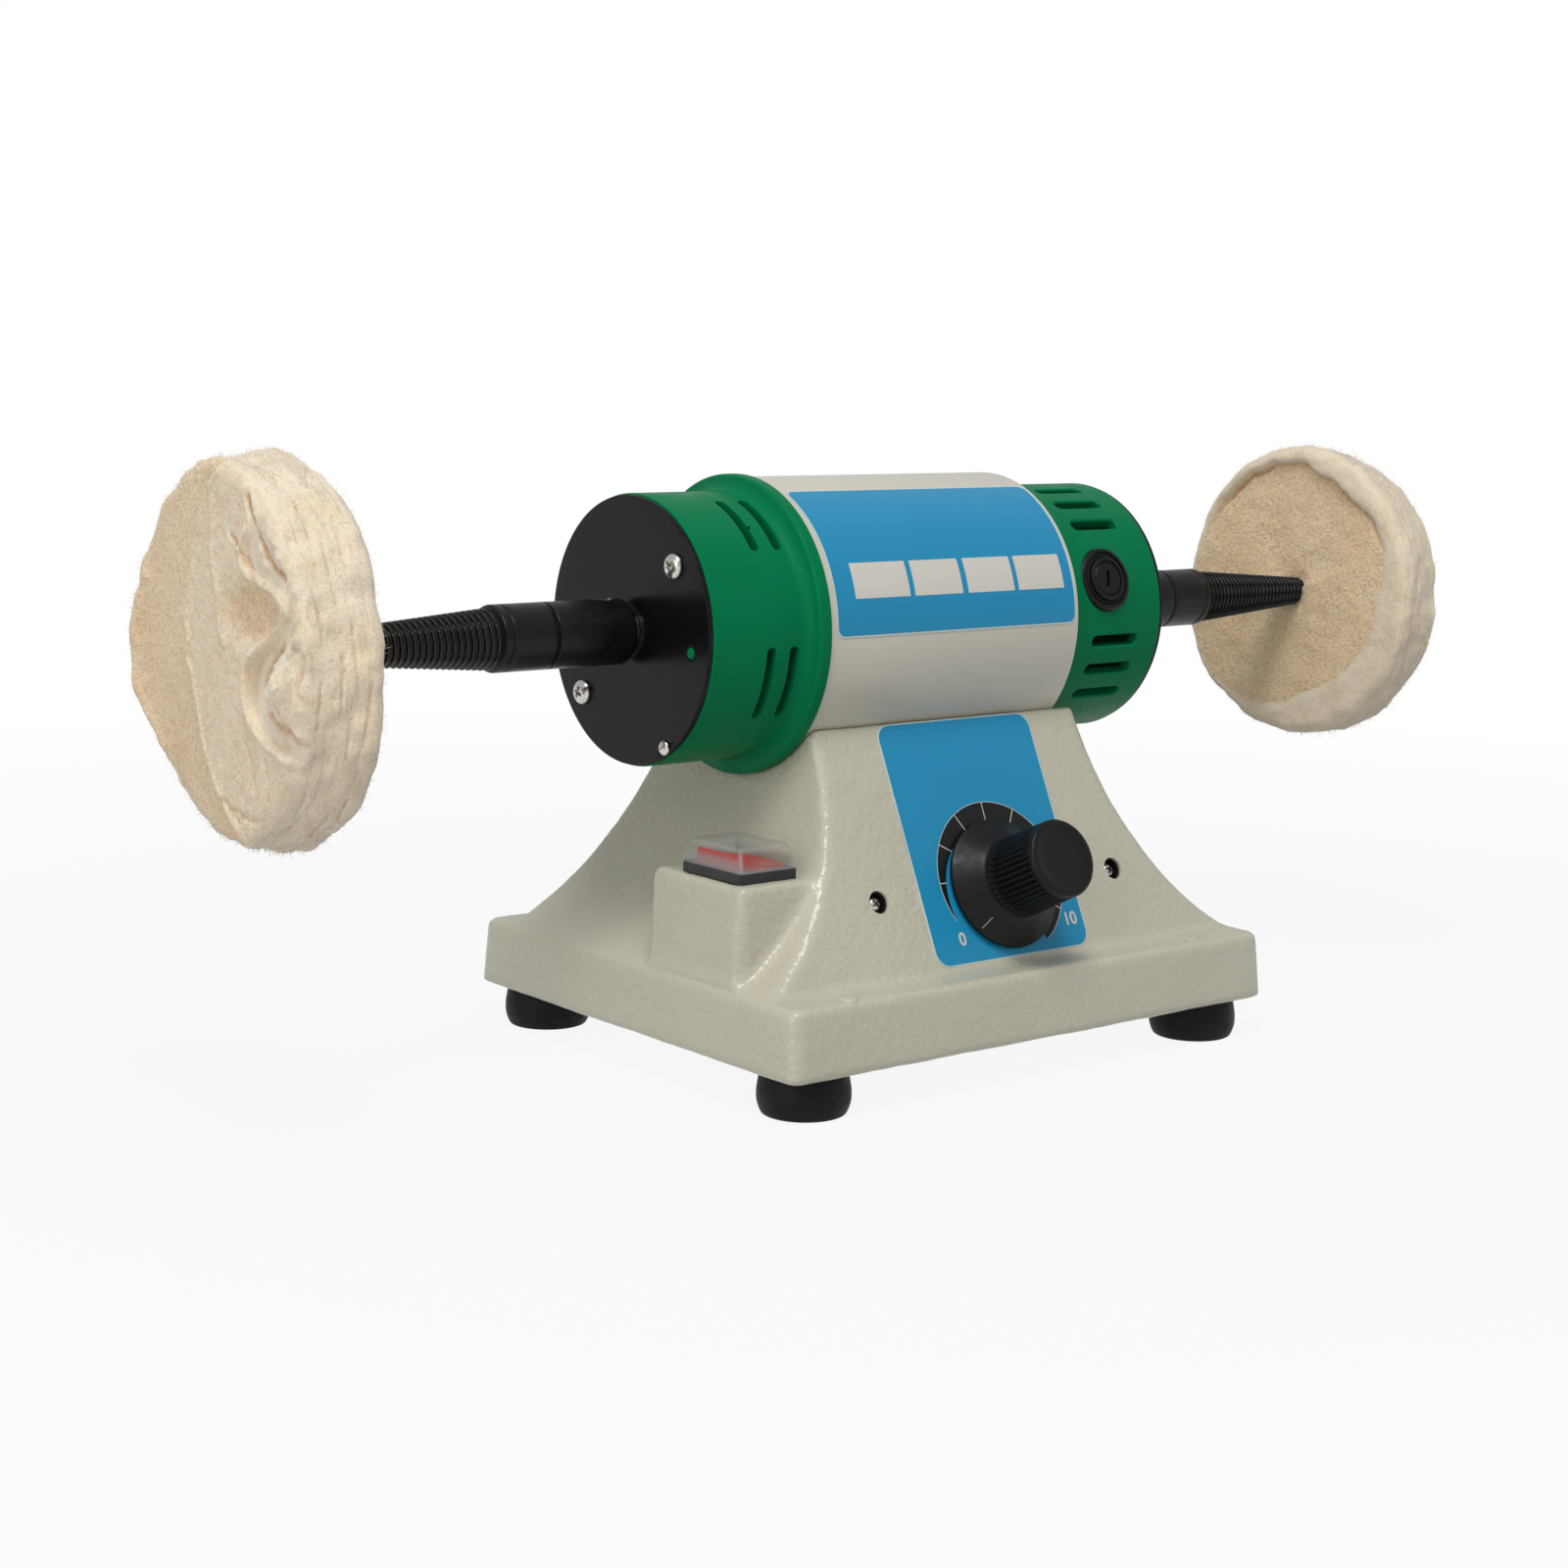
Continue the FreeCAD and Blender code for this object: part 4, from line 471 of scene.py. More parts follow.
cast = cast_paint()
oxide = machined_black()
vinyl = clear_vinyl()
cotton = flannel()
fibre = finish_of("loose_fibre", srgb(240, 230, 212), 0.8, vary=0.02, vary_scale=300, gloss_level=0.1)
tube_paint = finish_of("tube_paint", srgb(204, 200, 185), 0.3, vary=0.01, vary_scale=12,
                       rough_vary=0.015, bump=0.000008)
green = finish_of("green_moulding", srgb(0, 117, 72), 0.42, vary=0.05, vary_scale=35, bump=0.000006,
                  bump_scale=1500, gloss_level=0.06)
black_metal = finish_of("black_disc", srgb(17, 17, 18), 0.24, vary=0.08, vary_scale=40,
                        rough_vary=0.03, bump=0.000002, bump_scale=2500, gloss_level=0.13)
black_plastic = finish_of("black_plastic", srgb(20, 20, 21), 0.42, vary=0.1, vary_scale=80,
                          bump=0.00001, bump_scale=1800, gloss_level=0.18)
knob_plastic = finish_of("knob_plastic", srgb(19, 19, 20), 0.4, vary=0.1, vary_scale=90,
                         bump=0.000006, bump_scale=1600, gloss_level=0.2)
bezel_plastic = finish_of("bezel_plastic", srgb(38, 39, 40), 0.4, vary=0.08, vary_scale=90,
                          bump=0.00001, bump_scale=2500, gloss_level=0.3)
rubber = finish_of("rubber", srgb(21, 21, 22), 0.55, vary=0.1, vary_scale=90, bump=0.00002,
                   bump_scale=1400, gloss_level=0.16)
label_film = finish_of("label_film", srgb(30, 140, 184), 0.34, vary=0.015, vary_scale=30,
                       rough_vary=0.03, gloss_level=0.3)
pale_film = finish_of("pale_film", srgb(200, 216, 214), 0.35, vary=0.02, vary_scale=40)
white_print = finish_of("white_print", srgb(210, 206, 196), 0.4, vary=0.01, gloss_level=0.3)
grey_print = finish_of("grey_print", srgb(128, 127, 122), 0.4, vary=0.05, vary_scale=200)
black_print = finish_of("black_print", srgb(17, 18, 19), 0.38, vary=0.05, gloss_level=0.25)
red = finish_of("red_plastic", srgb(205, 46, 30), 0.32, vary=0.02, vary_scale=120)
put(red.node_tree.nodes["Principled BSDF"], {"Coat Weight": 0.3})
steel = finish_of("screw_steel", (0.62, 0.60, 0.57), 0.22, 1.0, vary=0.12, vary_scale=400,
                  bump=0.00002, bump_scale=2500)
shaft_steel = finish_of("shaft_steel", (0.60, 0.60, 0.61), 0.25, 1.0, vary=0.08, stretch=(60, 1, 1))
zinc = finish_of("zinc_sheet", (0.55, 0.56, 0.58), 0.42, 1.0, vary=0.14, vary_scale=120, bump=0.00002)
iron = finish_of("core_steel", (0.30, 0.30, 0.31), 0.5, 0.9, vary=0.2, vary_scale=200,
                 stretch=(8, 1, 1))
copper = finish_of("copper", (0.62, 0.27, 0.12), 0.35, 0.9, vary=0.2, vary_scale=500, bump=0.00006)
brass = finish_of("brass", (0.72, 0.52, 0.22), 0.3, 1.0, vary=0.1, vary_scale=300)
chrome = finish_of("bearing_steel", (0.62, 0.63, 0.65), 0.15, 1.0, vary=0.05, vary_scale=200)
carbon = finish_of("carbon", (0.03, 0.03, 0.032), 0.55, vary=0.2, vary_scale=600, bump=0.00003)
moulding = finish_of("moulding", (0.07, 0.03, 0.02), 0.5, vary=0.2, vary_scale=200)
fan_plastic = finish_of("fan_plastic", (0.02, 0.02, 0.022), 0.5, vary=0.1, vary_scale=120)
board_green = finish_of("board_green", (0.02, 0.16, 0.06), 0.35, vary=0.12, vary_scale=200)
aluminium = finish_of("sink_aluminium", (0.62, 0.63, 0.65), 0.35, 1.0, vary_scale=200,
                      stretch=(1, 1, 20))
film = finish_of("capacitor_film", (0.55, 0.38, 0.05), 0.4, vary=0.08, vary_scale=150)
nylon = finish_of("nylon", (0.66, 0.66, 0.60), 0.45, vary=0.04, vary_scale=150, bump=0.00002)

# The materials of the CAD nodes; those that a dressed piece replaces have one too
for material, nodes in (
        (zinc, "bottom_plate control_bracket pot_case"),
        (steel, "foot_screws motor_screws tie_bolts cover_screws brush_springs panel_screws"),
        (iron, "stator_core armature_core"), (copper, "field_coils armature_windings commutator"),
        (chrome, "left_bearing_outer right_bearing_outer left_bearing_inner right_bearing_inner"),
        (chrome, "left_bearing_balls right_bearing_balls"), (carbon, "carbon_brushes"),
        (black_plastic, "brush_holders brush_caps triac cable_gland gland_nut"),
        (shaft_steel, "motor_shaft pot_shaft"), (moulding, "commutator_hub"),
        (fan_plastic, "cooling_fan"), (oxide, "set_screws left_spindle right_spindle"),
        (brass, "pot_nut board_spacers switch_terminals"), (white_print, "knob_pointer"),
        (board_green, "control_board"), (aluminium, "heat_sink"), (film, "suppression_capacitor"),
        (bezel_plastic, "switch_body"), (red, "rocker_button"), (vinyl, "switch_boot"),
        (nylon, "terminal_block"), (cast, "base_casting"), (rubber, "rubber_feet"),
        (tube_paint, "motor_tube"), (label_film, "motor_label dial_plate"),
        (green, "left_end_cap right_end_cap"), (black_metal, "left_cover_disc right_cover_disc"),
        (cotton, "left_buff right_buff"), (knob_plastic, "speed_knob")):
    for node in nodes.split():
        mesh = NODES[node].data
        mesh.materials.clear()
        mesh.materials.append(material)

# ---- Shapes shared by the smaller pieces

def solid_of(bottom, top):
    """A closed mesh between two loops with as many points each."""
    count = len(bottom)
    faces = [tuple(range(count))[::-1], tuple(range(count, 2 * count))]
    for k in range(count):
        n = (k + 1) % count
        faces.append((k, n, count + n, count + k))
    return mesh_of([*bottom, *top], faces)


def prism(outline, place, low, high):
    """A closed mesh: a flat outline carried by place(u, v, height) from low to high."""
    return solid_of(*([place(u, v, height) for u, v in outline] for height in (low, high)))


def joined(meshes):
    """One mesh out of several."""
    bm = bmesh.new()
    for mesh in meshes:
        bm.from_mesh(mesh)
    bmesh.ops.recalc_face_normals(bm, faces=bm.faces)
    result = bpy.data.meshes.new("joined")
    bm.to_mesh(result)
    bm.free()
    return result


def circle_points(radius, count):
    """Points round a circle."""
    return [(radius * math.cos(k * math.tau / count), radius * math.sin(k * math.tau / count))
            for k in range(count)]


def rounded_outline(x0, x1, y0, y1, radius, steps=8):
    """A rectangle's outline with round corners, counter-clockwise."""
    out = []
    for cx, cy, start in ((x1 - radius, y0 + radius, -90), (x1 - radius, y1 - radius, 0),
                          (x0 + radius, y1 - radius, 90), (x0 + radius, y0 + radius, 180)):
        for k in range(steps + 1):
            angle = math.radians(start + 90 * k / steps)
            out.append((cx + radius * math.cos(angle), cy + radius * math.sin(angle)))
    return out


def lathe_mesh(profile, origin, axis, segments=64, wave=None):
    """A turned mesh from (along, radius) pairs; ends with radius 0 are closed.

    wave(i, along, radius, angles) may give ring i another radius at each angle."""
    axis, side, other = frame_of(axis)
    angles = np.arange(segments) * 2 * math.pi / segments
    ring = np.cos(angles)[:, None] * np.array(side) + np.sin(angles)[:, None] * np.array(other)
    rows = []
    for i, (along, radius) in enumerate(profile):
        reach = np.full(segments, float(radius)) if wave is None else wave(i, along, radius, angles)
        rows.append(np.array(origin) + np.array(axis) * along + ring * reach[:, None])
    return mesh_of(np.concatenate(rows).tolist(), grid_faces(len(profile), segments), JOIN)


def clock(angle):
    """The direction at a clock angle above the front, round the motor's axis."""
    return Vector((0.0, -math.cos(math.radians(angle)), math.sin(math.radians(angle))))


def on_motor(x, radius, angle):
    """A point at a place along the motor's axis, a radius and a clock angle."""
    return Vector((x, 0, 0)) + MOTOR_AXIS + clock(angle) * radius


def curved_sheet(x0, x1, low_angle, high_angle, corner, inner, outer, rows=48, columns=40, grow=0.0):
    """A closed sheet bent round the motor's axis, with round corners, its outer side larger by grow."""
    height = math.radians(high_angle - low_angle) * outer
    bends = [corner * (1 - math.cos(math.pi / 2 * k / 8)) for k in range(9)]
    ticks = sorted(set([0.0, height] + bends + [height - bend for bend in bends] +
                       list(np.linspace(corner, height - corner, rows))))
    points = []
    for layer, extra in ((inner, 0.0), (outer, grow)):
        bend, tall = corner + extra, height + 2 * extra
        for v in ticks:
            v = v * tall / height
            d = min(v, tall - v)
            inset = bend - math.sqrt(max(0.0, bend ** 2 - (bend - d) ** 2)) if d < bend else 0.0
            angle = low_angle + math.degrees((v - extra) / outer)
            for u in np.linspace(x0 - extra + inset, x1 + extra - inset, columns):
                points.append(on_motor(float(u), layer, angle))
    count = len(ticks)
    half = count * columns
    faces = []
    for i in range(count - 1):
        for j in range(columns - 1):
            a = i * columns + j
            quad = (a, a + 1, a + columns + 1, a + columns)
            faces.append(quad[::-1])
            faces.append(tuple(half + q for q in quad))
    border = list(range(columns)) + [i * columns + columns - 1 for i in range(1, count)]
    border += [(count - 1) * columns + j for j in range(columns - 2, -1, -1)]
    border += [i * columns for i in range(count - 2, 0, -1)]
    for k, a in enumerate(border):
        b = border[(k + 1) % len(border)]
        faces.append((a, b, half + b, half + a))
    return mesh_of(points, faces, FINE_JOIN)


def smooth_step(low, high, value):
    """0 below low, 1 above high, and a soft rise between."""
    t = np.clip((value - low) / (high - low), 0.0, 1.0)
    return t * t * (3 - 2 * t)


# ---- Base casting

VOXEL = 0.0014
PLINTH_TOP = 0.035


def drifted(mesh, amplitude, scale, seed):
    """Move the points along their normals by a smooth noise, as a rough casting has."""
    co = vectors_of(mesh.vertices, "co")
    normals = vectors_of(mesh.vertices, "normal")
    offset = Vector((seed, seed * 0.7, seed * 1.3))
    push = np.array([noise.noise(Vector(p) * scale + offset) for p in co]) * amplitude
    set_points(mesh, co + normals * push[:, None])


def base_casting():
    """The cream casting with soft edges and an uneven skin, and wells for the panel's screws."""
    def across_panel(radius, low, high):
        return [solid_of(*([on_panel(KNOB_X + side, KNOB_RISE, out) + PANEL_RIGHT * a + PANEL_UP * b
                            for a, b in circle_points(radius, 48)] for out in (low, high)))
                for side in PANEL_SCREWS]

    plugs = across_panel(0.0048, -0.0045, 0.0)
    wells = across_panel(0.0036, -0.0060, 0.003)
    source = joined([NODES["base_casting"].data] + plugs)
    weld(source, outward=False)
    mesh = applied(source, ("REMESH", {"mode": "VOXEL", "voxel_size": VOXEL, "adaptivity": 0.0}))
    relax(mesh, 3)
    drifted(mesh, 0.00012, 190.0, 3.0)
    drifted(mesh, 0.00025, 45.0, 9.0)
    # The switch box's left wall leans out towards its foot
    co = vectors_of(mesh.vertices, "co")
    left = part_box("switch_body")[0].x - 0.003
    drop = np.clip((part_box("switch_body")[1].z - 0.0032 - co[:, 2]) / 0.031, 0.0, 1.0)
    drop *= smooth_step(-0.056, -0.052, co[:, 1]) * smooth_step(-0.004, -0.009, co[:, 1])
    drop *= smooth_step(left + 0.0015, left - 0.0005, co[:, 0]) * smooth_step(0.0345, 0.037, co[:, 2])
    co[:, 0] -= 0.0022 * drop
    set_points(mesh, co)
    dress(carved(mesh, wells), "base_body", cast, ("base_casting",), 50)


def ledge_pads():
    """The small lumps of the casting on the plinth's front and rear ledges."""
    profile = [(-0.0006, 0.0), (-0.0006, 0.0031), (0.0001, 0.0030), (0.0005, 0.0026), (0.0008, 0.0018),
               (0.00085, 0.0009), (0.0008, 0.0)]
    pads = [lathe_mesh(profile, (x, y, PLINTH_TOP), (0, 0, 1), 40)
            for x, y in ((-0.0752, -0.0790), (0.0712, -0.0772), (-0.0740, 0.0785), (0.0715, 0.0780))]
    dress(joined(pads), "cast_pads", cast, (), 60)


base_casting()
ledge_pads()

# ---- Feet

FOOT_RADIUS, FOOT_EDGE, FOOT_BORE = 0.0142, 0.0126, 0.0021


def rubber_feet():
    """Four barrel feet with rounded edges."""
    low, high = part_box("rubber_feet")
    height = high.z - low.z
    outline = rounded(
        [(0.006, FOOT_BORE), (0.006, 0.0055), (0.0, 0.0055), (0.0, FOOT_EDGE), (0.0012, 0.0133),
         (height * 0.3, FOOT_RADIUS), (height * 0.55, FOOT_RADIUS), (height - 0.0003, 0.0133),
         (height, FOOT_EDGE), (height, FOOT_BORE), (0.006, FOOT_BORE)], 0.0012)
    points, faces = [], []
    for x in (low.x + FOOT_RADIUS, high.x - FOOT_RADIUS):
        for y in (low.y + FOOT_RADIUS, high.y - FOOT_RADIUS):
            faces += [tuple(len(points) + i for i in face) for face in grid_faces(len(outline), 64)]
            for along, r in outline:
                points += [(x + a, y + b, low.z + along) for a, b in circle_points(r, 64)]
    dress(mesh_of(points, faces, JOIN), "feet", rubber, ("rubber_feet",), 40)


rubber_feet()

# ---- Motor casing

TUBE_LOW, TUBE_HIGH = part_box("motor_tube")
TUBE_RADIUS = (TUBE_HIGH.z - TUBE_LOW.z) / 2
TUBE_WALL = 0.003
CAP_RADIUS, CAP_SPIGOT, CAP_BORE = 0.0417, 0.0429, 0.008  # the spigot sits inside the tube
CAP_INSIDE, BEARING_OUTSIDE, BEARING_SEAT = 0.038, 0.018, 0.014
CLOCK = 17.0  # clock angle of the brushes, round which the vents are laid out
BRUSH_X = 0.0646
BOLT_CIRCLE = 0.032
VENT_START, VENT_LENGTH, VENT_HALF, VENT_STEP = 0.0590, 0.0205, 0.0019, 14.0
SLOT_HALF = 0.0017


def motor_tube():
    """The painted tube, with small broken edges."""
    length = TUBE_HIGH.x - TUBE_LOW.x
    inside = TUBE_RADIUS - TUBE_WALL
    profile = [(0, inside), (0, TUBE_RADIUS), (length, TUBE_RADIUS), (length, inside), (0, inside)]
    mesh = lathe_mesh(rounded(profile, 0.0004, 3), (TUBE_LOW.x, 0, MOTOR_AXIS.z), X_AXIS, 256)
    dress(mesh, "tube", tube_paint, ("motor_tube",), 40)


motor_tube()


def arc_slot(x0, x1, low_angle, high_angle, corner, grow=0.0, low=0.036, high=0.0450):
    """A closed cutter for a slot with round ends, square through the wall or widening outwards."""
    return curved_sheet(x0, x1, low_angle, high_angle, corner, low, high, 10, 10, grow)


def cap_mesh(profile, lift=None):
    """A turned cap, its outline in (x, radius) pairs all round the wall."""
    outline = rounded(profile, 0.0005, 3)
    dense = []
    for (xa, ra), (xb, rb) in zip(outline, outline[1:]):
        steps = max(1, int(math.hypot(xb - xa, rb - ra) / 0.0011)) if min(ra, rb) > 0.04 else 1
        dense += [(xa + (xb - xa) * k / steps, ra + (rb - ra) * k / steps) for k in range(steps)]
    dense.append(outline[-1])
    return lathe_mesh(dense, (0, 0, MOTOR_AXIS.z), X_AXIS, 240, lift)


def left_cap():
    """The left cap: a plain drum with pairs of curved vents and a rolled flange."""
    end, wall, seat, tube, spigot = -0.0974, -0.0924, -0.0844, -0.057, -0.051
    flange = [(tube, 0.047), (tube - 0.0034, 0.047), (tube - 0.0040, 0.0468), (tube - 0.0044, 0.0462),
              (tube - 0.0046, 0.0453), (tube - 0.0050, 0.0441), (tube - 0.0057, 0.0430),
              (tube - 0.0066, 0.0422), (tube - 0.0078, 0.0418), (tube - 0.0090, CAP_RADIUS)]
    profile = [(end, 0.02), (end, CAP_RADIUS)] + flange[::-1] + [
        (tube, CAP_SPIGOT), (spigot, CAP_SPIGOT), (spigot, CAP_INSIDE), (wall, CAP_INSIDE),
        (wall, BEARING_OUTSIDE), (seat, BEARING_OUTSIDE), (seat, BEARING_SEAT), (wall, BEARING_SEAT),
        (wall, CAP_BORE), (end, CAP_BORE), (end, 0.02)]
    cutters = [arc_slot(x - SLOT_HALF, x + SLOT_HALF, middle - 16.5, middle + 16.5, SLOT_HALF)
               for base in (CLOCK, CLOCK + 180) for middle in (base - 37.3, base + 37.3)
               for x in (-0.0758, -0.0672)]
    dress(carved(cap_mesh(profile), cutters), "left_cap", green, ("left_end_cap",), 30)


def right_cap():
    """The right cap: rows of straight vents with bevelled rims, and raised rings round the brushes."""
    end, wall, seat, tube, spigot = 0.0894, 0.0844, 0.0764, 0.047, 0.041
    profile = [(tube, 0.0425), (tube, CAP_RADIUS), (end, CAP_RADIUS), (end, CAP_BORE), (wall, CAP_BORE),
               (wall, BEARING_SEAT), (seat, BEARING_SEAT), (seat, BEARING_OUTSIDE),
               (wall, BEARING_OUTSIDE), (wall, CAP_INSIDE), (spigot, CAP_INSIDE), (spigot, CAP_SPIGOT),
               (tube, CAP_SPIGOT), (tube, 0.0425)]

    def lift(i, along, radius, angles):
        reach = np.full(len(angles), float(radius))
        if radius > CAP_RADIUS - 0.0004 and along > tube + 0.0008:
            for clock_angle in (CLOCK, CLOCK + 180):
                gap = (angles + math.radians(clock_angle) + math.pi) % math.tau - math.pi
                off = np.hypot(gap * radius, along - BRUSH_X) / MM
                reach = reach + 0.0003 * (1 - smooth_step(12.6, 14.4, off))
        return reach

    cutters = []
    half = math.degrees(VENT_HALF / CAP_RADIUS)
    for base in (CLOCK, CLOCK + 180):
        for side in (-42.3, 42.3):
            for step in (-1, 0, 1):
                middle = base + side + step * VENT_STEP
                vent = (VENT_START, VENT_START + VENT_LENGTH, middle - half, middle + half, 0.00185)
                cutters += [arc_slot(*vent), arc_slot(*vent, 0.0009, 0.0412, 0.0421)]
        axis = clock(base)
        side_a, side_b = frame_of(axis)[1:]
        cutters.append(solid_of(*(
            [Vector((BRUSH_X, 0, 0)) + MOTOR_AXIS + axis * reach + side_a * a + side_b * b
             for a, b in circle_points(0.01062, 64)] for reach in (0.034, 0.048))))
    mesh = carved(cap_mesh(profile, lift), cutters)
    dress(mesh, "right_cap", green, ("right_end_cap",), 30)


def bore_rings():
    """Black rings that fill the discs' bores round the shaft, so the bores show black."""
    rings = []
    for node in ("left_cover_disc", "right_cover_disc"):
        low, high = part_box(node)
        near, far = 0.0002, high.x - low.x - 0.0002
        profile = [(near, 0.0082), (near, 0.0064), (far, 0.0064), (far, 0.0082), (near, 0.0082)]
        rings.append(lathe_mesh(profile, (low.x, 0, MOTOR_AXIS.z), X_AXIS))
    dress(joined(rings), "bore_rings", black_plastic, (), 30)


def disc_peg():
    """The end of a green moulded peg that shows in the left disc's hole."""
    profile = [(0.0, 0.0), (0.0, 0.0019), (0.0014, 0.0019), (0.0018, 0.0017), (0.0021, 0.0011),
               (0.0021, 0.0)]
    mesh = lathe_mesh(profile, on_motor(-0.0970, BOLT_CIRCLE, -7.5), (-1, 0, 0), 32)
    dress(mesh, "left_peg", green, (), 50)


left_cap()
right_cap()
bevelled("left_cover_disc", "left_disc", 0.0003, black_metal)
bore_rings()
disc_peg()
bevelled("right_cover_disc", "right_disc", 0.0003, black_metal)

# ---- Spindles

SPINDLE_START = 0.1013
SLEEVE, TAPER = 0.0479, 0.073
THREAD_PITCH, THREAD_DEPTH, THREAD_RINGS = 0.00207, 0.00085, 11
ROOT_RADIUS, TIP_RADIUS = 0.0094, 0.0037
SHAFT_RADIUS = 0.006
SPINDLE_SEGMENTS = 72
RING_STEP = 0.0022


def spindle(node, name, side, hand):
    """A sleeve and a tapered screw with a real helical thread."""
    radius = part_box(node)[1].z - MOTOR_AXIS.z
    bore = SHAFT_RADIUS + 0.00002
    head = [(0.0341, 0.0), (0.0341, bore), (0.0012, bore), (0.0004, bore + 0.0004),
            (0.0, bore + 0.0008), (0.0, radius - 0.0026), (0.0002, radius - 0.0018),
            (0.0007, radius - 0.0008), (0.0014, radius - 0.00015), (0.0021, radius)]
    head += [(float(place), radius) for place in np.arange(0.0035, 0.0280, RING_STEP)]
    for groove, depth, plain in ((0.0288, 0.00035, np.arange(0.0312, 0.0438, RING_STEP)),
                                 (0.0447, 0.00025, [0.0458])):
        for off, cut in ((-0.00042, 0.0), (-0.00028, 0.00008), (-0.00014, depth), (0.00014, depth),
                         (0.00028, 0.00008), (0.00042, 0.0)):
            head.append((groove + off, radius - cut))
        head += [(float(place), radius) for place in plain]
    head += [(SLEEVE - 0.0009, radius), (SLEEVE - 0.0005, radius - 0.0001),
             (SLEEVE - 0.0002, radius - 0.0004), (SLEEVE, ROOT_RADIUS - 0.0003)]
    end, step = SLEEVE + TAPER, THREAD_PITCH / THREAD_RINGS
    places = list(np.arange(SLEEVE + step, end - 0.0004, step))
    profile = head + [(float(p), 0.0) for p in places]
    profile += [(end - 0.0002, TIP_RADIUS - 0.0012), (end, TIP_RADIUS - 0.0018), (end, 0.0)]

    def wave(i, along, radius, angles):
        if not len(head) <= i < len(head) + len(places):
            return np.full(SPINDLE_SEGMENTS, radius)
        crest = ROOT_RADIUS + (TIP_RADIUS - ROOT_RADIUS) * ((along - SLEEVE) / TAPER)
        phase = (along / THREAD_PITCH + hand * angles / math.tau) % 1.0
        fade = np.clip((along - SLEEVE) / 0.0005, 0, 1) * np.clip((end - along) / 0.002, 0.3, 1)
        return crest - THREAD_DEPTH * fade * smooth_step(0.01, 0.15, np.minimum(phase, 1 - phase)) ** 0.7

    mesh = lathe_mesh(profile, (side * SPINDLE_START, 0.0, MOTOR_AXIS.z), (side, 0, 0),
                      SPINDLE_SEGMENTS, wave)
    hole = solid_of(*([(side * (SPINDLE_START + 0.007) + x, y, z) for x, y in circle_points(0.00232, 32)]
                      for z in (MOTOR_AXIS.z + SHAFT_RADIUS - 0.001, MOTOR_AXIS.z + 0.013)))
    dress(carved(mesh, [hole]), name, oxide, (node,), 32, "rotor")


spindle("left_spindle", "left_taper", -1, -1)
spindle("right_spindle", "right_taper", 1, 1)

# ---- Screws with domed heads

def dome_profile(radius, height, skirt):
    """A domed head's outline from the shank side to its crown."""
    out = [(0.0, 0.0), (0.0, radius * 0.96), (skirt * 0.4, radius), (skirt, radius)]
    for k in range(1, 10):
        angle = math.radians(90 * k / 10)
        out.append((skirt + (height - skirt) * math.sin(angle), radius * math.cos(angle) ** 0.8))
    out.append((height, 0.0))
    return out


def recess(base, axis, reach, width, depth_at, top, turn, arms=2):
    """Tapered blades that cut a cross or a slot into a head."""
    axis, side, other = frame_of(axis)
    cutters = []
    for k in range(arms):
        angle = turn + k * math.pi / 2
        along = side * math.cos(angle) + other * math.sin(angle)
        across = other * math.cos(angle) - side * math.sin(angle)
        cutters.append(solid_of(*(
            [base + axis * height + along * (length * a) + across * (half * b)
             for a, b in ((-1, -1), (1, -1), (1, 1), (-1, 1))]
            for height, length, half in ((depth_at, reach * 0.55, width * 0.35),
                                         (top, reach, width * 0.55)))))
    return cutters


def screw_mesh(base, axis, radius, height, shank, length, turn, slotted=False):
    """A domed screw standing on base and pointing along axis."""
    axis = Vector(axis).normalized()
    base = Vector(base)
    head = lathe_mesh(dome_profile(radius, height, height * 0.22), base, axis, 48)
    reach = radius * (1.3 if slotted else 0.62)
    cutters = recess(base, axis, reach, radius * 0.3, height * 0.35, height * 1.25, turn,
                     1 if slotted else 2)
    rod = lathe_mesh([(-length, 0.0), (-length, shank * 0.8), (-length + 0.0006, shank),
                      (0.0002, shank), (0.0002, 0.0)], base, axis, 32)
    return joined([carved(head, cutters), rod])


def disc_screws():
    """The screws of both cover discs: (radius, height, shank, length, turn, slotted)."""
    left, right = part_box("left_cover_disc")[0].x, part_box("right_cover_disc")[1].x
    bolts = [screw_mesh(on_motor(left, BOLT_CIRCLE, a), (-1, 0, 0), 0.0039, 0.0026, 0.002, 0.183, t)
             for a, t in ((41.5, 0.5), (221.5, 1.2))]
    dress(joined(bolts), "through_bolts", steel, ("tie_bolts",), 34)
    covers = [screw_mesh(on_motor(right, BOLT_CIRCLE, a), X_AXIS, 0.0039, 0.0026, 0.002, 0.006, t)
              for a, t in ((-7.5, 0.3), (172.5, 0.9))]
    covers.append(screw_mesh(on_motor(left, 0.039, -60), (-1, 0, 0), 0.0023, 0.0015, 0.0012, 0.006,
                             0.6, True))
    dress(joined(covers), "disc_screws", steel, ("cover_screws",), 34)


disc_screws()

# ---- Brush gear on the right cap

BRUSH_FACE = CAP_RADIUS + 0.0007


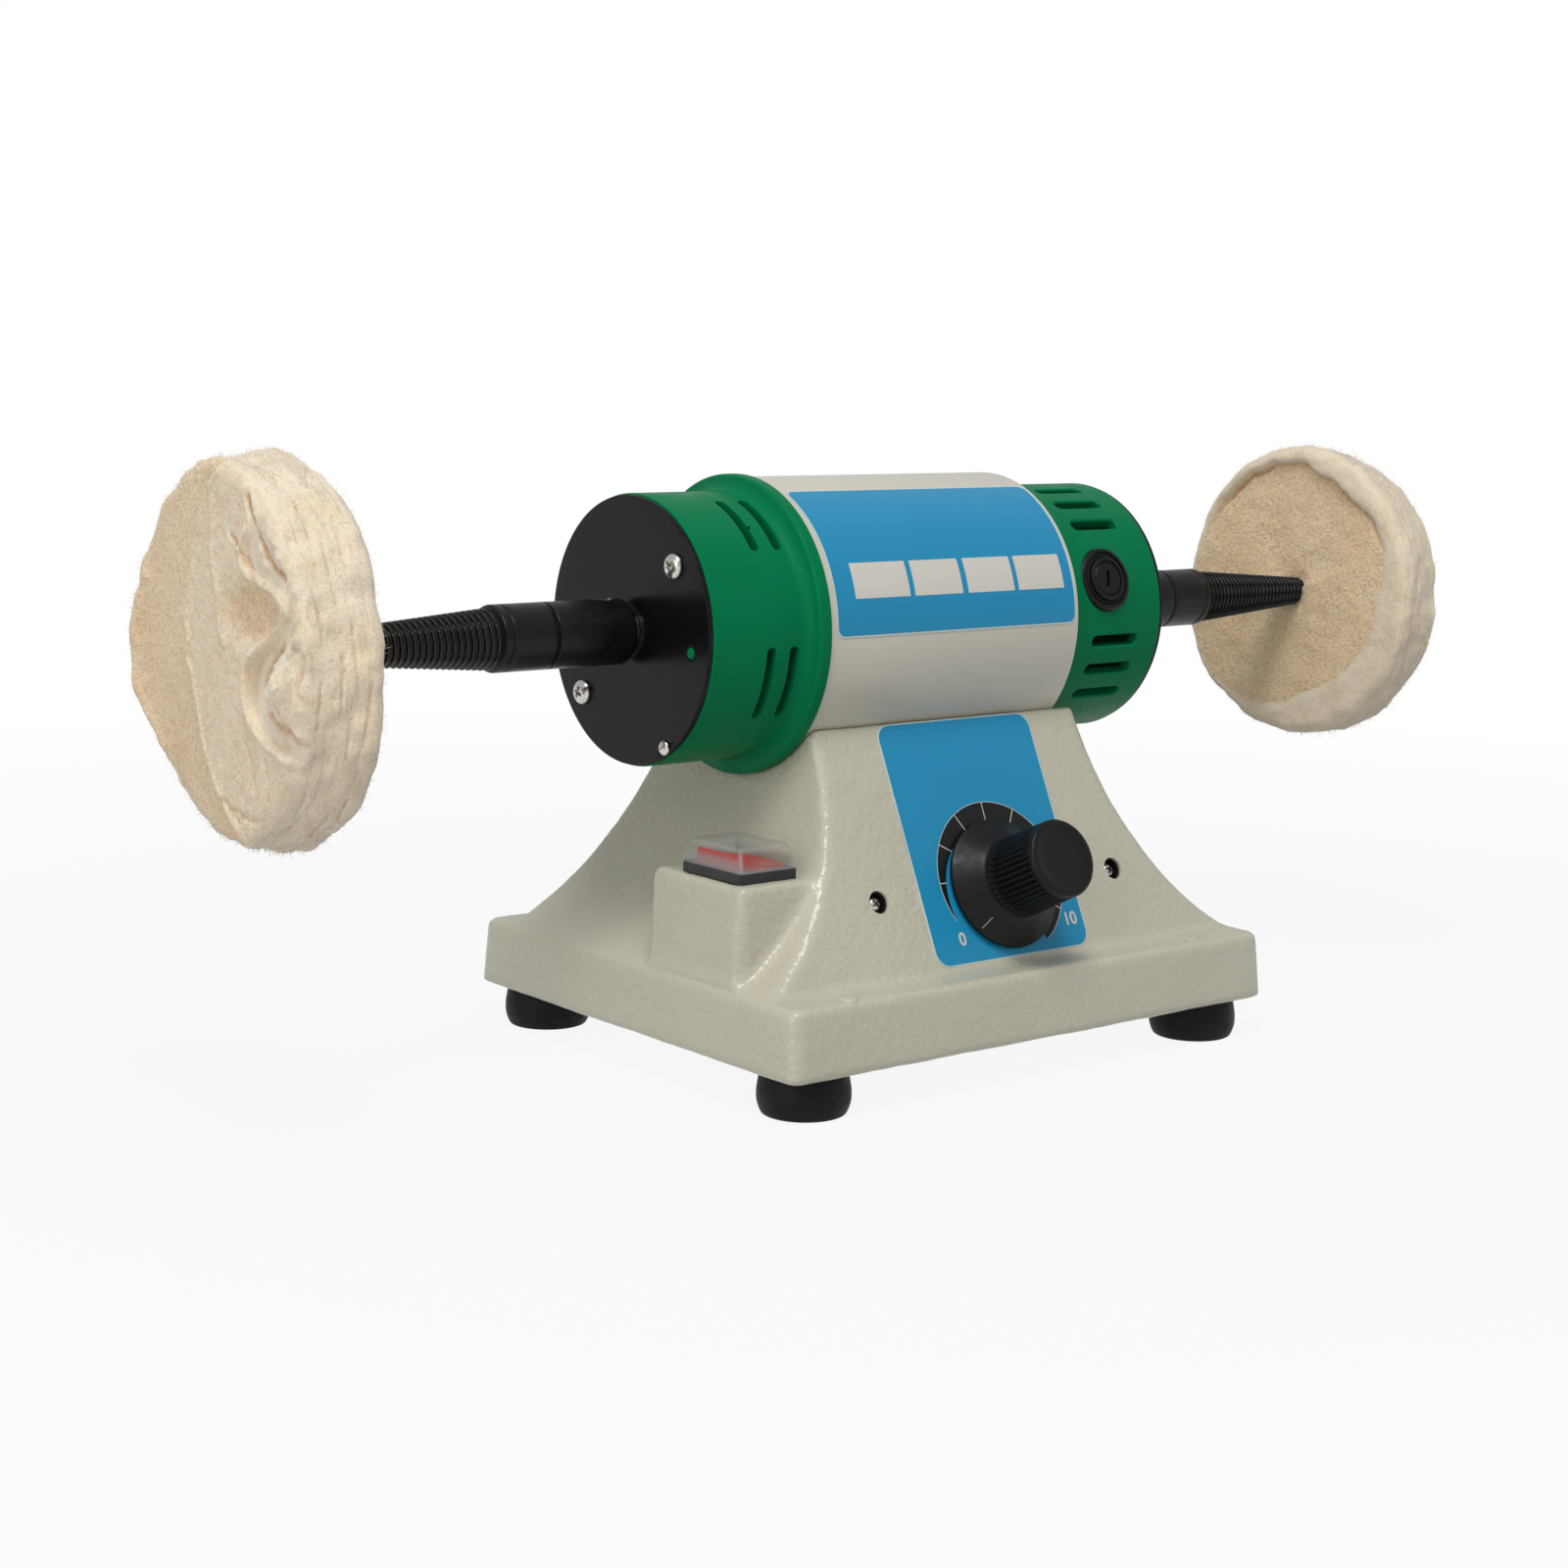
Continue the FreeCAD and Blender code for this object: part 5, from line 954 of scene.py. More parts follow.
def brush_gear():
    """The black collars and their slotted caps, on both sides of the right cap."""
    face = BRUSH_FACE
    collar = [(0.0135, 0.005), (0.0135, 0.0068), (face - 0.0064, 0.0068), (face - 0.0064, 0.0105),
              (face - 0.0005, 0.0105), (face - 0.0001, 0.0101), (face, 0.0097), (face, 0.0092),
              (face - 0.0006, 0.0089), (face - 0.0006, 0.0084), (face + 0.0001, 0.0080),
              (face + 0.0001, 0.0076), (face - 0.0009, 0.0074), (face - 0.0009, 0.00605),
              (face - 0.009, 0.00605), (face - 0.009, 0.005), (0.0135, 0.005)]
    cap = [(face - 0.009, 0.0), (face - 0.009, 0.006), (face - 0.0008, 0.006), (face - 0.0008, 0.0072),
           (face + 0.0007, 0.0072), (face + 0.0011, 0.0069), (face + 0.0012, 0.0065),
           (face + 0.0011, 0.0062), (face + 0.0005, 0.006), (face + 0.0005, 0.0056),
           (face + 0.0009, 0.0052), (face + 0.0009, 0.0)]
    collars, caps = [], []
    for angle in (CLOCK, CLOCK + 180):
        axis = clock(angle)
        base = Vector((BRUSH_X, 0, 0)) + MOTOR_AXIS
        collars.append(lathe_mesh(collar, base, axis, 96))
        slot = recess(base + axis * face, axis, 0.0036, 0.0014, -0.0006, 0.0022, math.radians(78), 1)
        caps.append(carved(lathe_mesh(cap, base, axis, 96), slot))
    dress(joined(collars), "brush_collars", black_plastic, ("brush_holders",), 30)
    dress(joined(caps), "brush_plugs", black_plastic, ("brush_caps",), 30)


brush_gear()

# ---- Speed knob, its pointer and the dial

DIAL_OUT = 0.0004
KNOB_LOW, KNOB_TOP = 0.001, 0.031
SKIRT_EDGE, SKIRT_TOP = KNOB_LOW + 0.0014, KNOB_LOW + 0.0074
SKIRT_RADIUS, SKIRT_DROP = 0.0204, 0.0071
GRIP_RADIUS = 0.0129
FLUTES = 42


def skirt_at(share):
    """(along, radius) of the knob's skirt, by share of its height."""
    return SKIRT_EDGE + 0.0004 + (SKIRT_TOP - SKIRT_EDGE) * share, SKIRT_RADIUS - SKIRT_DROP * share ** 0.92


def speed_knob():
    """A fluted grip on a flared satin skirt."""
    grip_low, grip_high = SKIRT_TOP + 0.0012, KNOB_TOP - 0.0022
    outline = [(KNOB_LOW + 0.0045, 0.0027), (KNOB_LOW + 0.0045, 0.008), (KNOB_LOW, 0.008),
               (KNOB_LOW, SKIRT_RADIUS), (KNOB_LOW + 0.0003, 0.0209), (KNOB_LOW + 0.0008, 0.021),
               (SKIRT_EDGE, 0.0209), (SKIRT_EDGE + 0.0004, SKIRT_RADIUS)]
    outline += [skirt_at(k / 14) for k in range(1, 14)]
    outline += [(SKIRT_TOP + 0.0004, 0.01300), (SKIRT_TOP + 0.0008, GRIP_RADIUS)]
    first = len(outline)
    outline += [(grip_low + (grip_high - grip_low) * k / 21, GRIP_RADIUS - 0.0004 * k / 21)
                for k in range(22)]
    last = len(outline)
    outline += [(KNOB_TOP - drop, radius) for drop, radius in (
        (0.0014, 0.0125), (0.0009, 0.01245), (0.0004, 0.0122), (0.0001, 0.0118), (0.0, 0.0113),
        (0.0, 0.0100), (0.0001, 0.0098), (0.0001, 0.006), (0.0001, 0.0))]
    segments = FLUTES * 10

    def wave(i, along, radius, angles):
        if not first <= i < last:
            return np.full(segments, float(radius))
        fade = min(1.0, (i - first) / 2.0, (last - 1 - i) / 1.0)
        return radius - 0.0010 * fade * (0.5 + 0.5 * np.cos(angles * FLUTES)) ** 1.2

    mesh = lathe_mesh(outline, on_panel(KNOB_X, KNOB_RISE), PANEL_OUT, segments, wave)
    dress(mesh, "knob_body", knob_plastic, ("speed_knob",), 38, "knob")


def strip(rows):
    """A closed thin strip: rows of four points each, round its cross-section."""
    points = [point for row in rows for point in row]
    ends = [(3, 2, 1, 0), tuple(len(points) - 4 + k for k in range(4))]
    return mesh_of(points, grid_faces(len(rows), 4) + ends, JOIN)


def on_circle(centre_x, centre_rise, radius, angle, aside, out):
    """A point of the panel on a circle, moved aside along it, at a height."""
    return on_panel(centre_x + radius * math.cos(angle) - math.sin(angle) * aside,
                    centre_rise + radius * math.sin(angle) + math.cos(angle) * aside, out)


def pointer():
    """A thin line moulded on the knob's skirt."""
    angle, half, sunk, proud = math.radians(222.0), 0.00019, -0.0002, 0.00008
    rows = []
    for k in range(13):
        along, radius = skirt_at(0.05 + 0.5 * k / 12)
        rows.append([on_circle(KNOB_X, KNOB_RISE, radius, angle, half * side, along + lift)
                     for side, lift in ((-1, sunk), (-1, proud), (1, proud), (1, sunk))])
    dress(strip(rows), "knob_line", grey_print, ("knob_pointer",), body="knob",
          smooth=False)


speed_knob()
pointer()

DIAL_X, DIAL_RISE = 0.003, 0.027
DIAL_RADIUS = 0.025
DIAL_START, DIAL_SWEEP, TICK_STEP = 207.7, 267.0, 29.7
TICK_HALF = 0.00015


def dial_point(radius, degrees, out):
    """A point of the dial's print."""
    return on_circle(DIAL_X, DIAL_RISE, radius, math.radians(degrees), 0.0, out)


def dial_inner(share):
    """The inner radius of the dial's black wedge, by share of its sweep."""
    return DIAL_RADIUS - 0.0225 * max(share, 0.004)


def ring_strip(inner_at, outer, low, top, steps=96):
    """A strip along the dial's sweep."""
    rows = []
    for k in range(steps + 1):
        degrees, inner = DIAL_START - DIAL_SWEEP * k / steps, inner_at(k / steps)
        rows.append([dial_point(inner, degrees, low), dial_point(inner, degrees, top),
                     dial_point(outer, degrees, top), dial_point(outer, degrees, low)])
    return strip(rows)


def dial_print():
    """The growing black wedge with its thin ticks and edge line, and the numbers 0 and 10."""
    low, top = DIAL_OUT - 0.0001, DIAL_OUT + 0.00003
    dress(ring_strip(dial_inner, DIAL_RADIUS, low, top), "dial_wedge", black_print,
          smooth=False)
    marks = []
    for k in range(1, int(DIAL_SWEEP / TICK_STEP) + 1):
        angle = math.radians(DIAL_START - k * TICK_STEP)
        marks.append(strip([
            [on_circle(DIAL_X, DIAL_RISE, radius, angle, TICK_HALF * side, out)
             for side, out in ((-1, low), (-1, top + 0.00002), (1, top + 0.00002), (1, low))]
            for radius in (dial_inner(k * TICK_STEP / DIAL_SWEEP), DIAL_RADIUS)]))
    marks.append(ring_strip(lambda share: DIAL_RADIUS - 0.00002, DIAL_RADIUS + 0.00018, low, top))
    marks += [number_mesh("0", -0.019, 0.0095), number_mesh("10", 0.0275, 0.0107)]
    dress(joined(marks), "dial_marks", white_print, smooth=False)


def number_mesh(text, x, rise):
    """A printed number centred on a point of the dial plate."""
    curve = bpy.data.curves.new("number", "FONT")
    for key, value in {"body": text, "size": 0.0058, "offset": 0.00012, "align_x": "CENTER",
                       "align_y": "CENTER", "extrude": 0.00006, "resolution_u": 6}.items():
        setattr(curve, key, value)
    mesh = baked(added("number", curve))
    turn = Matrix((PANEL_RIGHT, PANEL_UP, PANEL_OUT)).transposed().to_4x4()
    mesh.transform(Matrix.Translation(on_panel(x, rise, DIAL_OUT)) @ turn)
    return mesh


def dial_plate():
    """The blue plate, with a thin pale edge painted on as the highlight along it."""
    low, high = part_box("dial_plate")
    foot, inset = 0.0017, 0.00035
    head = foot + (high.z - low.z) / math.cos(PANEL_LEAN) - DIAL_OUT * math.tan(PANEL_LEAN)
    # The pale backing shows round the blue sheet as a painted highlight on the plate's edge
    backing = rounded_outline(low.x, high.x, foot, head, 0.005, 10)
    dress(prism(backing, on_panel, 0.0, DIAL_OUT - 0.00006), "dial_backing", pale_film,
          ("dial_plate",), smooth=False)
    sheet = rounded_outline(low.x + inset, high.x - inset, foot + inset, head - inset, 0.0047, 10)
    dress(prism(sheet, on_panel, 0.0001, DIAL_OUT), "dial_film", label_film, smooth=False)


dial_plate()
dial_print()

# ---- Label on the motor casing

FIELDS = ((-0.0465, -0.0245), (-0.0225, -0.0027), (-0.0004, 0.0193), (0.0212, 0.0410))


def motor_label():
    """The blue label with a pale edge and four blank white fields."""
    low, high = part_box("motor_label")
    radius = TUBE_RADIUS
    backing = curved_sheet(low.x, high.x, -1.0, 66.0, 0.003, radius + 0.00005, radius + 0.00022)
    dress(backing, "label_backing", pale_film, ("motor_label",), 40)
    sheet = curved_sheet(low.x + 0.0005, high.x - 0.0005, -0.35, 65.35, 0.0026, radius + 0.0001,
                         radius + 0.0003)
    dress(sheet, "label_sheet", label_film, (), 40)
    fields = [curved_sheet(x0, x1, 13.5, 27.5, 0.00025, radius + 0.0002, radius + 0.00034, 14, 16)
              for x0, x1 in FIELDS]
    dress(joined(fields), "label_fields", white_print, (), 40)


motor_label()

# ---- Rocker switch

SWITCH_LOW, SWITCH_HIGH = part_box("switch_boot")
SWITCH_X, SWITCH_Y = (SWITCH_LOW.x + SWITCH_HIGH.x) / 2, (SWITCH_LOW.y + SWITCH_HIGH.y) / 2
SWITCH_HALF_X, SWITCH_HALF_Y = (SWITCH_HIGH.x - SWITCH_LOW.x) / 2, (SWITCH_HIGH.y - SWITCH_LOW.y) / 2
BOOT_WALL, BOOT_CORNER, BOOT_BEND = 0.0009, 0.0014, 0.0008
BOOT_LIP = ((0.0002, 0.00005), (0.0013, 0.00005), (0.0013, 0.0004), (0.0010, 0.0007),
            (0.0005, 0.0008), (0.0002, 0.0008), (0.0002, 0.00005))


def switch_ring(half_x, half_y, corner, z):
    """The points of a rounded rectangle round the switch, at a height."""
    outline = rounded_outline(SWITCH_X - half_x, SWITCH_X + half_x, SWITCH_Y - half_y,
                              SWITCH_Y + half_y, corner, 6)
    return [(x, y, z) for x, y in outline]


def switch_boot():
    """The clear moulded cover, its wall tapering in to a flat top with round edges, and its lip."""
    base, top = SWITCH_LOW.z, SWITCH_HIGH.z
    half_x, half_y = SWITCH_HALF_X, SWITCH_HALF_Y
    top_x, top_y = half_x - 0.0012, half_y - 0.0021
    outer = [(half_x + (top_x - half_x) * k / 6, half_y + (top_y - half_y) * k / 6, BOOT_CORNER,
              base + (top - BOOT_BEND - base) * k / 6) for k in range(7)]
    for k in range(1, 6):
        angle = math.pi / 2 * k / 5
        inset = BOOT_BEND * (1 - math.cos(angle))
        outer.append((top_x - inset, top_y - inset, BOOT_CORNER - inset * 0.6,
                      top - BOOT_BEND + BOOT_BEND * math.sin(angle)))
    inner = [(hx - BOOT_WALL, hy - BOOT_WALL, max(corner - BOOT_WALL * 0.5, 0.0004),
              min(z, top - BOOT_WALL)) for hx, hy, corner, z in outer[:7]]
    inner.append((top_x - BOOT_WALL - 0.0004, top_y - BOOT_WALL - 0.0004, 0.0005, top - BOOT_WALL))
    rings = [switch_ring(*row) for row in inner[::-1] + outer]
    points, count = [point for ring in rings for point in ring], len(rings[0])
    ends = [tuple(range(count))[::-1], tuple(len(points) - count + k for k in range(count))]
    mesh = mesh_of(points, grid_faces(len(rings), count) + ends, FINE_JOIN)
    dress(mesh, "boot_shell", vinyl, ("switch_boot",), 40)
    # Corners, the roof's edge and the foot are made more opaque than the panels: a painted stand-in for the
    # highlights and shade along a clear shell's edges
    co = vectors_of(mesh.vertices, "co")
    over_x = np.abs(co[:, 0] - SWITCH_X) - (top_x - 0.0010)
    over_y = np.abs(co[:, 1] - SWITCH_Y) - (top_y - 0.0010)
    corner = np.minimum(smooth_step(0.0, 0.0008, over_x), smooth_step(0.0, 0.0008, over_y))
    roof = smooth_step(top - 0.0016, top - 0.0006, co[:, 2])
    roof *= smooth_step(-0.0004, 0.0004, np.maximum(over_x, over_y))
    foot = smooth_step(base + 0.0007, base, co[:, 2])
    mark_points(mesh, "edge", np.maximum(np.maximum(corner, roof), foot))
    rings = [switch_ring(half_x + out, half_y + out, BOOT_CORNER + out, base - 0.0032 + rise)
             for out, rise in BOOT_LIP]
    mesh = mesh_of([point for ring in rings for point in ring],
                   grid_faces(len(rings), len(rings[0])), FINE_JOIN)
    dress(mesh, "boot_lip", vinyl, (), 30)


switch_boot()
bevelled("switch_body", "switch_bezel", 0.0004, bezel_plastic, 3, 50)
bevelled("rocker_button", "rocker", 0.0006, red, 3, 30, "rocker")

# ---- Panel screws in their wells, whose shade is painted by black cups

def panel_screws():
    """Two small screws deep in black cups beside the dial; the cups are painted shade inside the wells."""
    cup = [(-0.0004, 0.0), (-0.0004, 0.00355), (0.0034, 0.00355), (0.0036, 0.0034), (0.0034, 0.0032),
           (0.0002, 0.0030), (0.0, 0.0)]
    cups, screws = [], []
    for side, turn in zip(PANEL_SCREWS, (0.5, 1.1)):
        base = on_panel(KNOB_X + side, KNOB_RISE, -0.0044)
        cups.append(lathe_mesh(cup, base, PANEL_OUT, 48))
        screws.append(screw_mesh(base, PANEL_OUT, 0.0028, 0.0030, 0.0014, 0.004, turn))
    # The black cups stand in for the shade inside the wells.
    dress(joined(cups), "well_shade_liners", rubber, (), 40)
    dress(joined(screws), "dial_screws", steel, ("panel_screws",), 34)


panel_screws()
bevelled("bottom_plate", "base_plate", 0.0003, zinc)

# ---- Cloth buffs

BUFF_COLUMNS = 420
BUFF_RADIUS = 53.5  # mm, of the flat face that the reliefs are drawn on
BUFF_THICK = 23.0
BUFF_EDGE = 4.0  # mm, of the rounding between faces and rim
EDGE_SHARE = BUFF_EDGE / BUFF_RADIUS
FACE_SHARE = 1 - EDGE_SHARE
HUB_SHARE = 0.075


def polar_cap(points, faces, ring):
    """Close a ring of points with a fan."""
    points.append(tuple(np.mean([points[i] for i in ring], axis=0)))
    last = len(points) - 1
    faces += [(ring[k], ring[(k + 1) % len(ring)], last) for k in range(len(ring))]


def ruffle(points, scale, seed, octaves=1):
    """Smooth noise at many points, from about -1 to 1."""
    total = np.zeros(len(points))
    gain = 1.0
    for k in range(octaves):
        offset = Vector((seed + 7.3 * k, seed * 1.7 - 3.1 * k, seed * 0.6 + 11.9 * k))
        step = scale * 2 ** k
        total += gain * np.array([
            noise.noise(Vector((p[0] * step, p[1] * step, p[2] * step)) + offset) for p in points])
        gain *= 0.5
    return total


def radii_at(table, degrees):
    """Radii at some angles, from a few (degrees, radius) pairs all round."""
    pairs = sorted((a % 360, r) for a, r in table)
    return np.interp(degrees, [a for a, _ in pairs], [r for _, r in pairs], period=360)


def round_radius(table):
    """Radii in metres all round, softened, from a few (degrees, mm) pairs."""
    terms = np.fft.rfft(radii_at(table, np.arange(BUFF_COLUMNS) * 360.0 / BUFF_COLUMNS))
    terms *= np.exp(-(np.arange(len(terms)) / 11.0) ** 2)
    return np.fft.irfft(terms, BUFF_COLUMNS) * MM


def line_distance(y, z, line):
    """Distance to a polyline in mm, signed by its side, and the share along it."""
    best = np.full(len(y), 1e9)
    sign = np.ones(len(y))
    share = np.zeros(len(y))
    count = len(line) - 1
    for k, ((ay, az), (by, bz)) in enumerate(zip(line, line[1:])):
        dy, dz = by - ay, bz - az
        t = np.clip(((y - ay) * dy + (z - az) * dz) / (dy * dy + dz * dz), 0, 1)
        off = np.hypot(y - ay - t * dy, z - az - t * dz)
        cross = dy * (z - az) - dz * (y - ay)
        closer = off < best
        best = np.where(closer, off, best)
        sign = np.where(closer, np.sign(cross), sign)
        share = np.where(closer, (k + t) / count, share)
    return best * sign, share


def curve_through(line, steps=8):
    """A smooth line through the points."""
    pts = [np.array(p, float) for p in line]
    pts = [2 * pts[0] - pts[1]] + pts + [2 * pts[-1] - pts[-2]]
    out = []
    for a, b, c, d in zip(pts, pts[1:], pts[2:], pts[3:]):
        for k in range(steps):
            t = k / steps
            out.append(tuple(0.5 * (2 * b + (c - a) * t + (2 * a - 5 * b + 4 * c - d) * t ** 2 +
                                    (3 * b - a - 3 * c + d) * t ** 3)))
    out.append(tuple(pts[-2]))
    return out


def bell(distance, width):
    """1 at distance 0, falling off softly over a width."""
    return np.exp(-(distance / width) ** 2)


# The folded face's lines in mm, (forward, up) as seen on the buff before it is turned
FLAP = [(-24.5, 42), (-24, 36), (-21, 31), (-22, 26), (-29, 23), (-38, 21), (-44, 18), (-43, 14),
        (-36, 8), (-26, 2), (-22, -3), (-22, -11), (-27, -17), (-37, -22), (-47, -25), (-56, -28)]
SEAM = [(-3, 46), (-3, 33), (-3, 26), (-5, 18), (-6, 10), (-9, 4)]
CREASES = (  # line, depth, width, strength of its painted shade
    ([(-23.5, 44), (-26.5, 39), (-30, 34), (-34, 29.5), (-39, 26), (-43, 24.5)], 1.6, 0.9, 1.1),
    ([(-14, 34), (-18.8, 30.6), (-22, 27), (-27, 23)], 0.9, 0.8, 0.5),
    ([(-40, 6), (-34.4, 2.5), (-31, -2), (-29.5, -7), (-32, -11.5), (-37, -14.5), (-43, -16.5)],
     1.5, 1.3, 0.95),
    ([(-46, 7), (-51, 5), (-52, 0), (-50.5, -5), (-53, -10)], 0.9, 0.8, 0.55),
    ([(-38, -9), (-42, -13), (-46, -17), (-50, -20)], 1.1, 1.0, 0.95),
    ([(-20, -22), (-24, -28), (-25, -34)], 0.7, 0.9, 0.25),
    ([(-32, -25), (-34, -31), (-33, -36)], 0.6, 0.8, 0.3),
    ([(-12, -41), (-19.5, -42.6), (-28, -42.4), (-38, -39), (-43, -33)], 0.8, 0.8, 0.2),
    ([(-2, -40), (-9, -40.6), (-16, -44.5)], 0.8, 0.7, 0.3))
FOLD_RIDGES = ((5.0, 0.6, 0.8), (8.0, 0.8, 0.9), (11.5, 0.7, 0.9), (15.0, 0.6, 0.9), (19.0, 0.5, 0.9))
LUMPS = ((-42.5, -4.5, 5.6, 3.6), (-46, -12, 2.8, 1.5))  # forward, up, width, height
NAP_RIM = [(-153, 39.9), (-123, 38.5), (-99, 39), (-80, 44), (-60, 49), (-37, 50.5), (0, 50), (30, 50),
           (44, 48.7), (64, 48.8), (90, 47.8), (105, 43.9), (126, 43.1), (141, 44.8), (159, 45.1),
           (180, 40.9)]


def folded_face(y, z, noise_a, noise_b):
    """A face whose outer ply has slipped into a fold: its relief, bare nap, and the painted shade in its
    creases and pocket.
    """
    edge = np.hypot(y + 50 + 1.6 * noise_a, z - 5) - 64 + 1.2 * noise_b
    relief = -1.9 * smooth_step(-0.5, 0.9, edge) + 0.5 * bell(edge + 1.0, 0.9)
    relief += -1.1 * smooth_step(2, 30, edge) + 1.3 * smooth_step(30, 38, edge)
    gap, along = line_distance(y + 0.5 * noise_b, z + 0.5 * noise_a, curve_through(FLAP))
    gap = -gap
    start = smooth_step(0.0, 0.1, along)
    lip = 1.2 * bell(gap + 0.9 + 0.25 * noise_b, 1.15) * (0.85 + 0.2 * noise_b) * start
    hollow = (1.2 + 2.4 * bell(along - 0.64, 0.14)) * start
    beyond = smooth_step(-0.1, 1.2, gap)
    relief = relief * (1 - beyond) + lip - hollow * beyond * (1 - 0.8 * smooth_step(2.0, 14, gap))
    for place, height, width in FOLD_RIDGES:
        ridge = height * bell(gap - place - 1.6 * noise_a, width) * beyond
        relief += ridge * smooth_step(0.0, 0.6, 0.4 + 0.9 * noise_b)
    for forward, up, width, height in LUMPS:
        relief += height * np.exp(-((y - forward) ** 2 + (z - up) ** 2) / width ** 2)
    pocket = smooth_step(0.0, 1.0, np.exp(-(((y + 25) / 15) ** 2 + ((z - 14) / 7.5) ** 2)) * 1.5)
    relief += -1.9 * pocket * (1 - beyond)
    relief += 0.6 * bell(line_distance(y, z, curve_through(SEAM))[0], 1.2) * (1 - beyond)
    # The fold's pocket and its creases get painted shade
    crease_shade = 0.42 * pocket * (1 - beyond)
    for line, depth, width, shade_strength in CREASES:
        reach, _ = line_distance(y + 0.5 * noise_a, z + 0.5 * noise_b, curve_through(line))
        relief -= depth * bell(reach, width)
        crease_shade = np.maximum(crease_shade, shade_strength * bell(reach, width * 1.15))
    nap = np.maximum(smooth_step(-0.3, 0.8, edge), 0.95 * pocket * (1 - beyond))
    nap = np.maximum(nap, 0.5 * (1 - beyond))
    return relief, np.maximum(nap, 0.45 * smooth_step(2.0, 4.5, -relief)), crease_shade


def dished_face(y, z, noise_a, noise_b):
    """A face whose nap lies sunk inside a soft lip: its relief, bare nap, and the painted shade just inside
    the lip at its top.
    """
    angle = np.arctan2(z, y)
    rim = radii_at(NAP_RIM, np.degrees(angle) % 360)
    inside = rim - np.hypot(y, z) + 1.1 * noise_a + 0.5 * noise_b
    top = smooth_step(0.2, 0.9, np.sin(angle))
    relief = -(0.2 + 2.3 * top) * smooth_step(-4.5 + 3.0 * top, 1.5, inside)
    relief += -0.3 * smooth_step(2, 40, inside) - (0.1 + 1.5 * top) * bell(inside - 0.8, 0.9)
    relief += (0.25 + 0.25 * top) * bell(inside + 3.2, 2.4) + 0.45 * noise_a * smooth_step(0, 6, inside)
    # Painted shade just inside the lip, at the top of the face
    crease_shade = 0.75 * top ** 2 * bell(inside - 0.9, 1.0) * smooth_step(0.12, 0.4, np.abs(np.cos(angle)))
    nap = smooth_step(-0.8 - 2.5 * (1 - top), 0.6 + 2.5 * (1 - top), inside)
    return relief, nap, crease_shade


def rim_plies(theta, s, noise_a, noise_b, strength, count, seed):
    """Relief in mm of the rim, where the cloth discs part in wandering grooves."""
    relief = np.zeros(len(s))
    for k in range(1, count):
        place = BUFF_THICK * k / count + 0.9 * np.sin(theta * 2 + k * 1.9 + seed)
        place += 0.7 * np.sin(theta * 5 + k * 4.1 + seed * 2) + 0.8 * noise_a
        width = 0.34 + 0.22 * np.sin(theta * 3 + k * 2.3 + seed) ** 2
        broken = smooth_step(-0.25, 0.35, noise_b + 0.55 * np.sin(theta * 11 + k * 2.7 + seed))
        depth = (0.5 + 0.9 * np.sin(theta * 1.5 + k * 1.3 + seed) ** 2) * strength * broken
        relief += -depth * np.exp(-np.abs((s - place) / width) ** 1.4)
    swell = 0.3 * np.sin(theta * 4 + seed * 3 + s * 0.2)
    swell += 0.2 * np.sin(theta * 9 + s * 0.5 + seed) * strength
    return relief + swell + 0.35 * noise_a


def buff_rows():
    """Each ring's place across the stack in mm, share of the radius, and side: -1 inner, 1 outer."""
    angles = [math.pi / 2 * k / 9 for k in range(10)]
    rows = [(0.0, HUB_SHARE + (FACE_SHARE - HUB_SHARE) * k / 62, -1.0) for k in range(62)]
    rows += [(BUFF_EDGE * (1 - math.cos(a)), 1 - EDGE_SHARE * (1 - math.sin(a)), -math.cos(a))
             for a in angles]
    rows += [(BUFF_EDGE + (BUFF_THICK - 2 * BUFF_EDGE) * k / 46, 1.0, 0.0) for k in range(1, 46)]
    rows += [(BUFF_THICK - BUFF_EDGE + BUFF_EDGE * math.sin(a), 1 - EDGE_SHARE * (1 - math.cos(a)),
              math.sin(a)) for a in angles]
    return rows + [(BUFF_THICK, FACE_SHARE * (1 - k / 108) + 0.002, 1.0) for k in range(1, 108)]


